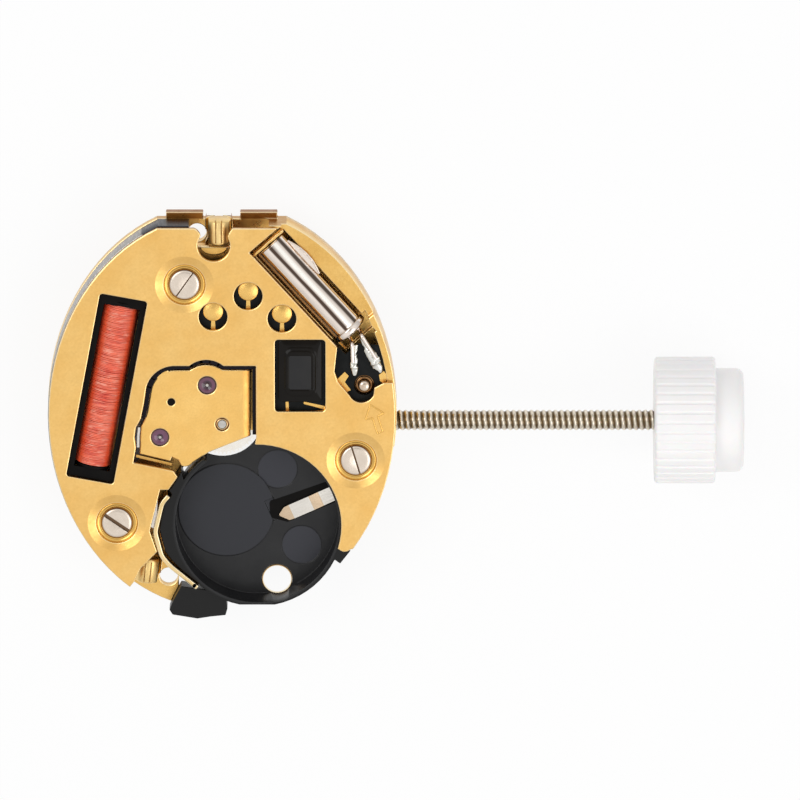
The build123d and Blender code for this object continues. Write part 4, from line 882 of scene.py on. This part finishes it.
square_start, square_end, square_half = 3.30, 5.00, 0.22
profile = [
    (stem_start, 0), (stem_start, 0.13), (2.63, 0.16), (square_start, 0.16), (square_start, square_half),
    (square_end, square_half), (square_end, 0.38), (5.02, 0.40), (5.88, 0.40), (5.90, 0.38), (5.90, 0.24),
    (6.34, 0.24), (6.34, 0.38), (6.36, 0.40), (7.08, 0.40), (thread_start, thread_root),
]
thread_length = crown_start - thread_start
count = int(thread_length / (thread_pitch / steps_per_turn))
profile += [(thread_start + thread_length * step / count, thread_root) for step in range(1, count + 1)]
profile += [(stem_end, thread_root), (stem_end, 0)]
shaft = spun(profile, stem_root, (1, 0, 0), 40, thread_radius)
corners = [
    (square_start, -square_half), (square_end, -square_half), (square_end, square_half),
    (square_start, square_half),
]
square = prism(corners, stem_height - square_half, stem_height + square_half)
piece("threaded_stem", gather(shaft, square), "stem", "stem_steel", 60, ("stem",))

# Crown
flute_count, flute_depth, flute_share, flute_fade = 40, 0.055, 0.19, 0.10
flutes_start, flutes_end = 18.72, 21.40
crown_radius, crown_corner = 2.75, 0.17
knob_radius, knob_corner = 2.25, 0.35
bore_end, bore_radius = 19.60, 0.38


def fluted_radius(along, radius, angle):
    """The radius of the crown's larger step, with its flutes."""
    if along > flutes_end - 0.02 or radius < 2.2:
        return radius
    share = (angle * flute_count / (2 * math.pi)) % 1.0
    dent = max(0.0, 1 - ((share - 0.5) / flute_share) ** 2)
    near_start = max(0.0, (along - flutes_start) / flute_fade)
    near_end = max(0.0, (flutes_end - along) / flute_fade)
    return radius - flute_depth * dent * min(1.0, near_start, near_end)


profile = [(bore_end, 0), (bore_end, bore_radius), (18.83, bore_radius)]
profile += [(crown_start, 0.46), (crown_start, 2.55)]
profile += rounding((crown_start + crown_corner, crown_radius - crown_corner), crown_corner, 180, 90, 6)[1:]
profile += [(along, crown_radius) for along in (19.3, 20.0, 20.8)]
profile += rounding((21.23, crown_radius - crown_corner), crown_corner, 90, 0, 6)
profile += [(flutes_end, 2.40), (21.41, 2.28), (21.45, knob_radius), (22.0, knob_radius)]
profile += rounding((crown_end - knob_corner, knob_radius - knob_corner), knob_corner, 90, 0, 8)
profile += [(crown_end, 1.2), (crown_end, 0)]
crown = spun(profile, stem_root, (1, 0, 0), 400, fluted_radius)
piece("fluted_crown", crown, "crown", "white_plastic", 40, ("crown",))

# Release button and its collar
button_profile = (
    (0.52, 0), (0.52, 0.24), (1.73, 0.24), (1.79, 0.232), (1.825, 0.20), (1.848, 0.14), (1.858, 0.07),
    (1.86, 0),
)
button = spun(button_profile, button_axis, count=64)
piece("release_button_head", button, "setting_lever_post", "button_steel", 40, ("setting_lever_post",))
collar_low = ends_of("lever_collar", 2)[0]
collar_profile = (
    (collar_low, 0.265), (collar_low, 0.45), (1.46, 0.45), (1.49, 0.44), (1.50, 0.415), (1.505, 0.39),
    (1.535, 0.375), (1.555, 0.345), (1.56, 0.31), (1.55, 0.28), (1.52, 0.265), (collar_low, 0.265),
)
collar = spun(collar_profile, button_axis)
replaced = ("lever_collar",)
piece("release_button_collar", collar, "lever_collar", "bright_brass", 40, replaced, "collar_bronze")

# Circuit board: its gilt tracks, test pads and chip
track_low, track_high = board_top - 0.005, board_top + 0.012
track_pixels = {
    "track_by_button": [(336.5, 380), (345, 372), (349, 376), (345, 382), (351, 390), (347, 392)],
    "track_by_rim": [(379, 375), (384, 371), (388, 377), (385, 384), (380, 381)],
    "track_under_chip": [(304, 401.5), (325.5, 406), (325.5, 410), (314, 406.5), (304, 404)],
    "track_at_corner": [(285.8, 402), (288.6, 400), (289.4, 410), (286.2, 411)],
    "track_over_chip": [(283, 341.5), (289, 341.5), (287.5, 344.5), (284.5, 344.5)],
    "track_at_top": [(309, 341.5), (315, 341.5), (311.5, 345)],
}
for name, pixels in track_pixels.items():
    skin = prism([from_photo(pixel, board_top) for pixel in pixels], track_low, track_high)
    finished(piece(name, skin, "circuit_board", "gilt_pad"), 0.006)

pad_places = ((1.15, 5.89), (2.61, 4.88), (-0.37, 4.97))
pad_radius, pad_shift, pad_top, neck_top = 0.43, 0.16, board_top + 0.022, board_top + 0.014
neck_length, neck_foot, neck_end = 0.70, 0.10, 0.07
pad_profile = (
    (track_low, 0), (track_low, pad_radius), (pad_top - 0.007, pad_radius), (pad_top, pad_radius - 0.01),
    (pad_top, 0),
)
for index, (x, y) in enumerate(pad_places):
    disc = spun(pad_profile, (x, y + pad_shift, 0))
    foot = y - neck_length
    corners = ((x - neck_foot, foot), (x + neck_foot, foot), (x + neck_end, y), (x - neck_end, y))
    skin = gather(disc, prism(corners, track_low, neck_top))
    replaced = () if index else ("contact_pads",)
    piece(f"test_pad_{index + 1}", skin, "contact_pads", "gilt_pad", replaces=replaced)

# The chip's cover, as (width, length, corner, shift along Y, height over the board)
chip_middle = (3.39, 2.40)
chip_levels = (
    (1.88, 2.78, 0.20, 0.06, 0.0), (1.88, 2.78, 0.20, 0.06, 0.045), (1.82, 2.72, 0.20, 0.06, 0.060),
    (1.44, 2.28, 0.30, 0.02, 0.068), (1.36, 2.16, 0.34, 0.0, 0.080), (1.30, 2.06, 0.36, 0.0, 0.115),
    (1.20, 1.92, 0.34, 0.0, 0.138), (1.06, 1.66, 0.20, 0.0, 0.140), (0.98, 1.54, 0.10, 0.0, 0.128),
    (0.94, 1.48, 0.05, 0.0, 0.110),
)
cover = stacked([
    (rounded_box((chip_middle[0], chip_middle[1] + shift), width, length, corner), board_top + height)
    for width, length, corner, shift, height in chip_levels
])
piece("chip_cover", cover, "circuit_chip", "epoxy", 30, ("circuit_chip",))
window_width, window_length, window_corner, window_low, window_high = 0.96, 1.50, 0.05, 0.100, 0.118
corners = rounded_box(chip_middle, window_width, window_length, window_corner)
window = prism(corners, board_top + window_low, board_top + window_high)
piece("chip_window", window, "circuit_chip", "epoxy", finish="chip_slate")

# Solder joints
solder_lift, solder_bend, solder_steps, solder_tip = 0.06, 0.12, 4, 0.86
broad_lumps, fine_lumps = (5.5, 0.05), (13, 0.025)


def solder_run(name, pixels, widths, seed, replaces=()):
    """A lumpy run of solder along a lead, flattened on the board."""
    narrow, wide = widths

    def reach(share):
        if share < solder_tip:
            return narrow + (wide - narrow) * math.sin(share * math.pi / 2)
        return wide * (1 - ((share - solder_tip) / 0.15) ** 2 * 0.75)

    middle = board_top + solder_lift
    path = rounded_corners([(*from_photo(pixel, board_top), middle) for pixel in pixels], solder_bend)
    dense = []
    for start, end in zip(path, path[1:]):
        dense += [start.lerp(end, step / solder_steps) for step in range(solder_steps)]
    verts, faces = tube(dense + [path[-1]], reach, 24)
    lumpy = []
    for vert in verts:
        scale, depth = broad_lumps
        swell = depth * noise.noise(Vector((vert.x * scale, vert.y * scale, seed)))
        scale, depth = fine_lumps
        swell += depth * noise.noise(Vector((vert.x * scale, vert.y * scale, seed + vert.z * 6)))
        lift = (vert.z - middle) * 0.62
        height = board_top + 0.045 + lift + max(lift, 0) * swell * 6
        lumpy.append(Vector((vert.x + swell, vert.y + swell * 0.6, height)))
    piece(name, (lumpy, faces), "solder_joints", "solder", 60, replaces)


lead_a_pixels = ((356, 345), (354.6, 355), (354, 365), (355, 375))
lead_b_pixels = ((362.5, 338), (368, 349), (375, 361), (381, 372))
solder_run("solder_run_a", lead_a_pixels, (0.09, 0.20), 3, ("solder_joints",))
solder_run("solder_run_b", lead_b_pixels, (0.11, 0.26), 8)

# Raised arrow beside the release button
arrow_radius, arrow_sink, arrow_bend = 0.04, 0.015, 0.03
arrow_pixels = (
    (377.3, 433.5), (372.6, 418.0), (365.4, 419.5), (370.2, 404.6), (384.0, 413.2), (377.6, 416.2),
    (382.8, 431.4), (377.3, 433.5),
)
outline = [(*from_photo(pixel, cover_top), cover_top - arrow_sink) for pixel in arrow_pixels]
arrow = tube(rounded_corners(outline, arrow_bend, 3), arrow_radius, 10)
piece("release_arrow", arrow, "cover_plate", "gilt_cover", 60, finish="gilt_pad")

# The black moulding round the train bridge, and a gilt ledge and a bright edge at its left
frame_path = [
    (1.54, -0.40), (1.54, 2.77), (0.05, 2.77), (-0.28, 2.98), (-0.72, 3.05), (-1.12, 2.98), (-1.42, 2.77),
    (-2.06, 2.77), (-2.58, 2.66), (-2.96, 2.36), (-3.20, 1.98), (-3.33, 1.57), (-3.42, 0.98), (-3.55, 0.36),
]
frame_path = rounded_corners(frame_path, 0.24, 4)
ledge_path = [(-3.74, -1.44), (-2.20, -1.825)]
stator_path = [(-3.60, -0.16), (-3.64, -0.55), (-3.65, -1.06)]
for name, path, width, low, high, slot, finish in (
    ("train_frame", frame_path, 0.44, 1.51, 1.695, "black_plastic", "module_frame"),
    ("train_ledge", ledge_path, 0.12, 1.28, 1.44, "gilt_plate", "gilt_plate"),
    ("stator_edge", stator_path, 0.10, 1.28, 1.42, "contact_gilt", "contact_silver"),
):
    piece(name, band(path, width, low, high), "module_spacer", slot, finish=finish)


# The crystal's bed: two gilt lips of the plate, and the clip that holds the can
def can_place(along, aside, height):
    """A place along the crystal, to the left of its way, at a height."""
    place = can_root + can_way * along + can_left * aside
    return Vector((place.x, place.y, height))


for name, reach, side, low, high, width in (
    ("crystal_lip_end", (-0.14, -0.03), (-0.86, 0.86), 1.20, 1.62, 0.03),
    ("crystal_lip_left", (0.0, can_length), (-0.88, -0.79), 1.30, 1.44, 0.02),
):
    skin = box(can_root, can_way, can_left, reach, side, low, high)
    finished(piece(name, skin, "main_plate", "gilt_plate"), width, 3)
clip_arc = ((0.40, 0.70), (0.80, 0.84), (1.20, 0.92), (1.60, 0.93), (2.00, 0.88), (2.40, 0.74))
clip_aside, clip_low, clip_high, bead_height, bead_radius = 0.60, 1.38, 1.45, 1.50, 0.045
path = rounded_corners([can_place(*place, bead_height) for place in clip_arc], 0.3)
piece("crystal_clip_bead", tube(path, bead_radius, 12), "main_plate", "gilt_plate", 60, finish="can_metal")
path += [can_place(along, clip_aside, 0) for along in (clip_arc[-1][0], clip_arc[0][0])]
clip = prism(path, clip_low, clip_high)
piece("crystal_clip", clip, "main_plate", "gilt_plate", finish="can_metal")

# Dial-foot locks: slotted barrels with a flat, and the upper one's round bed
barrel_profile = (
    (0.0, 0), (0.0, 0.40), (0.03, 0.47), (0.10, 0.52), (0.18, 0.54), (1.06, 0.54), (1.11, 0.52),
    (1.14, 0.47), (1.14, 0),
)
groove_aside, groove_width, groove_reach = 0.13, 0.035, (0.16, 1.30)
groove_floor, barrel_over = 1.42, 1.80
flat_reach, flat_side, flat_low = (-0.2, 1.4), (0.44, 0.70), 0.40
for name, joint, turn in (
    ("dial_foot_lock_top", "lock_top_turn", 90.0), ("dial_foot_lock_low", "lock_low_turn", 264.0),
):
    place = joint_places[joint]
    way, left = directions(turn)
    barrel = piece(name + "_barrel", spun(barrel_profile, place, way), name, "lock_brass", 40, (name,))
    cutters = [
        box(place, way, left, groove_reach, (aside - groove_width / 2, aside + groove_width / 2),
            groove_floor, barrel_over)
        for aside in (groove_aside, -groove_aside)
    ]
    cutters.append(box(place, way, left, flat_reach, flat_side, flat_low, barrel_over))
    finished(barrel, 0.012, 2, cutters)

bed_middle = (-0.33, 7.96)
angles = [math.pi * (1 + step / 24) for step in range(25)]
for name, wide, deep, low, high, width in (
    ("lock_bed", 0.80, 0.72, 0.60, 1.22, 0.10), ("lock_bed_step", 0.62, 0.40, 1.20, 1.36, 0.06),
):
    bed = [
        (bed_middle[0] + wide * math.cos(angle), bed_middle[1] + deep * math.sin(angle)) for angle in angles
    ]
    finished(piece(name, prism(bed, low, high), "main_plate", "gilt_plate"), width, 4)

# Battery's positive contact
strap_path = (
    (-2.333, -3.121), (-2.613, -3.454), (-2.924, -4.757), (-2.651, -5.833), (-2.288, -6.287),
    (-1.098, -7.287),
)
strap_width, strap_low, strap_top, strap_bend = 0.20, 1.05, 1.93, 0.18
left, right = sides(rounded_corners(strap_path, strap_bend), strap_width)
strap = prism(left + right[::-1], strap_low, strap_top)
strap = piece("positive_strap", strap, "positive_contact", "contact_gilt", replaces=("positive_contact",))
hole_place, hole_radius = (-1.22, -7.185, 0), 0.045
hole_profile = ((1.60, 0), (1.60, hole_radius), (2.10, hole_radius), (2.10, 0))
finished(strap, 0.045, 3, [spun(hole_profile, hole_place, count=20)])
foot_corners = ((-2.742, -2.939), (-2.788, -3.257), (-2.879, -4.787), (-3.219, -4.545), (-2.969, -2.939))
foot_low, foot_high = 1.50, 1.58
foot = prism(foot_corners, foot_low, foot_high)
foot = piece("positive_foot", foot, "positive_contact", "contact_gilt", finish="contact_silver")
finished(foot, 0.015)

# Battery's negative contact, as rows of (reach, left side, right side, height), in its groove
leaf_thickness = 0.055
leaf_rows = (
    (-0.08, -0.28, 0.36, 0.380), (0.66, -0.28, 0.38, 0.382), (0.72, -0.28, 0.38, 0.390),
    (1.06, -0.28, 0.38, 0.430), (1.12, -0.28, 0.38, 0.434), (2.06, -0.28, 0.38, 0.440),
    (2.30, -0.26, 0.36, 0.430), (2.61, -0.05, 0.03, 0.395),
)
rings = [
    [
        leaf_root + leaf_way * reach + leaf_left * aside + Vector((0, 0, height + rise))
        for aside, rise in ((low, 0), (high, 0), (high, leaf_thickness), (low, leaf_thickness))
    ]
    for reach, low, high, height in leaf_rows
]
leaf = piece(
    "negative_leaf", closed_skin(rings), "negative_contact", "contact_silver", 12, ("negative_contact",),
)
# The leaf's sloping bend and its tip take a tan colour of painted shade.
leaf.data.materials.append(finishes["contact_tan"])
shaded_bend_start, shaded_bend_end, shaded_tip_start = 0.68, 1.10, 2.1
for face in leaf.data.polygons:
    reach = (face.center / MM - leaf_root).dot(leaf_way)
    if shaded_bend_start < reach < shaded_bend_end or reach > shaded_tip_start:
        face.material_index = 1
# A dark sheet on the insulator's floor round the leaf, which paints the shade of its groove.
channel_outline = (
    (-0.02, -0.54), (2.46, -0.72), (2.70, -0.74), (2.80, -0.66), (3.00, -0.12), (2.96, 0.0), (2.42, 0.44),
    (-0.02, 0.46),
)
channel_low, channel_high = 0.350, 0.366
corners = [leaf_root + leaf_way * reach + leaf_left * aside for reach, aside in channel_outline]
channel = prism(corners, channel_low, channel_high)
piece("leaf_groove_shade", channel, "battery_insulator", "insulator", finish="black_plastic")

# Gilt eyelet in the battery bay's small hole
eyelet_profile = (
    (0.29, 0.60), (0.29, 0.66), (0.365, 0.66), (0.385, 0.648), (0.385, 0.625), (0.36, 0.605), (0.29, 0.60),
)
eyelet_place = (2.36, -7.34, 0)
piece("bay_eyelet", spun(eyelet_profile, eyelet_place, count=72), "battery_insulator", "contact_gilt", 40)


# Floor
def seen_rays(graph, seen, reflected):
    """How white the background is for what is seen directly or in metal and glass."""
    shares = [
        graph.calc("MULTIPLY", graph.add("ShaderNodeLightPath", {}, ray), level)
        for ray, level in (
            ("Is Camera Ray", seen), ("Is Transmission Ray", seen), ("Is Glossy Ray", reflected),
        )
    ]
    return graph.calc("MAXIMUM", graph.calc("MAXIMUM", shares[0], shares[1]), shares[2])


floor_half, floor_height, floor_white = 600, -1.98, 0.88
floor_mesh = bpy.data.meshes.new("floor")
corners = [Vector((x, y, 0)) * floor_half * MM for x, y in ((-1, -1), (1, -1), (1, 1), (-1, 1))]
floor_mesh.from_pydata(corners, [], [(0, 1, 2, 3)])
floor = shown("floor", floor_mesh)
floor.location.z = floor_height * MM
paper = bpy.data.materials.new("floor_paper")
graph = Graph(paper)
graph.nodes.remove(graph.nodes["Principled BSDF"])
feeds = {
    "Fac": seen_rays(graph, floor_white, floor_white),
    1: graph.add("ShaderNodeBsdfDiffuse", {"Color": (0.95, 0.95, 0.95)}),
    2: graph.add("ShaderNodeEmission", {"Strength": 1.0}),
}
graph.feed(graph.nodes["Material Output"].inputs["Surface"], graph.add("ShaderNodeMixShader", feeds))
floor_mesh.materials.append(paper)

# World, white above, where the dark round of a camera hangs, as in any studio
sky_stops = ((0.0, (0.34, 0.34, 0.35)), (0.35, (0.46, 0.46, 0.47)), (0.80, (0.95, 0.95, 0.95)))
lens_way = Vector((0.02, 0.17, 0.985)).normalized()
lens_edge, lens_middle, lens_grey = 0.955, 0.992, (0.16, 0.15, 0.14)
world_white, world_reflected = 1.0, 0.35
world = bpy.data.worlds.new("studio")
scene.world = world
graph = Graph(world)
way = graph.add("ShaderNodeTexCoord", {}, "Generated")
sky = graph.ramp(graph.add("ShaderNodeSeparateXYZ", {0: way}, "Z"), sky_stops)
toward = graph.vector("DOT_PRODUCT", way, lens_way, "Value")
sky = graph.mix(graph.spread(toward, 0, 1, lens_edge, lens_middle), sky, lens_grey)
sky = graph.mix(seen_rays(graph, world_white, world_reflected), sky, (1, 1, 1))
graph.feed(graph.nodes["Background"].inputs["Color"], sky)

# Lamps, as name, place, what it is aimed at, size and power
for name, place, aim, size, power in (
    ("key_lamp", (-90, 60, 150), (2, 0, 0), 90, 0.055),
    ("fill_lamp", (80, -30, 110), (19, 0, 0), 80, 0.030),
):
    lamp = settled(bpy.data.lights.new(name, "AREA"), shape="SQUARE", size=size * MM, energy=power)
    softbox = shown(name, lamp)
    softbox.location = Vector(place) * MM
    softbox.rotation_euler = (Vector(aim) - Vector(place)).to_track_quat("-Z", "Y").to_euler()

# Camera, leaning by an angle from straight above
view_lean, view_distance = math.radians(16), 579.72
view_target = Vector((7.717, 0.674, 0.0))
away = Vector((0, math.sin(view_lean), math.cos(view_lean)))
camera = settled(bpy.data.cameras.new("camera"), lens=600, sensor_width=36, clip_start=0.005, clip_end=5)
viewer = shown("camera", camera)
spot = Matrix.Translation((view_target + away * view_distance) * MM)
viewer.matrix_world = spot @ Matrix.Rotation(-view_lean, 4, "X")
scene.camera = viewer
scene.view_settings.view_transform = "Standard"
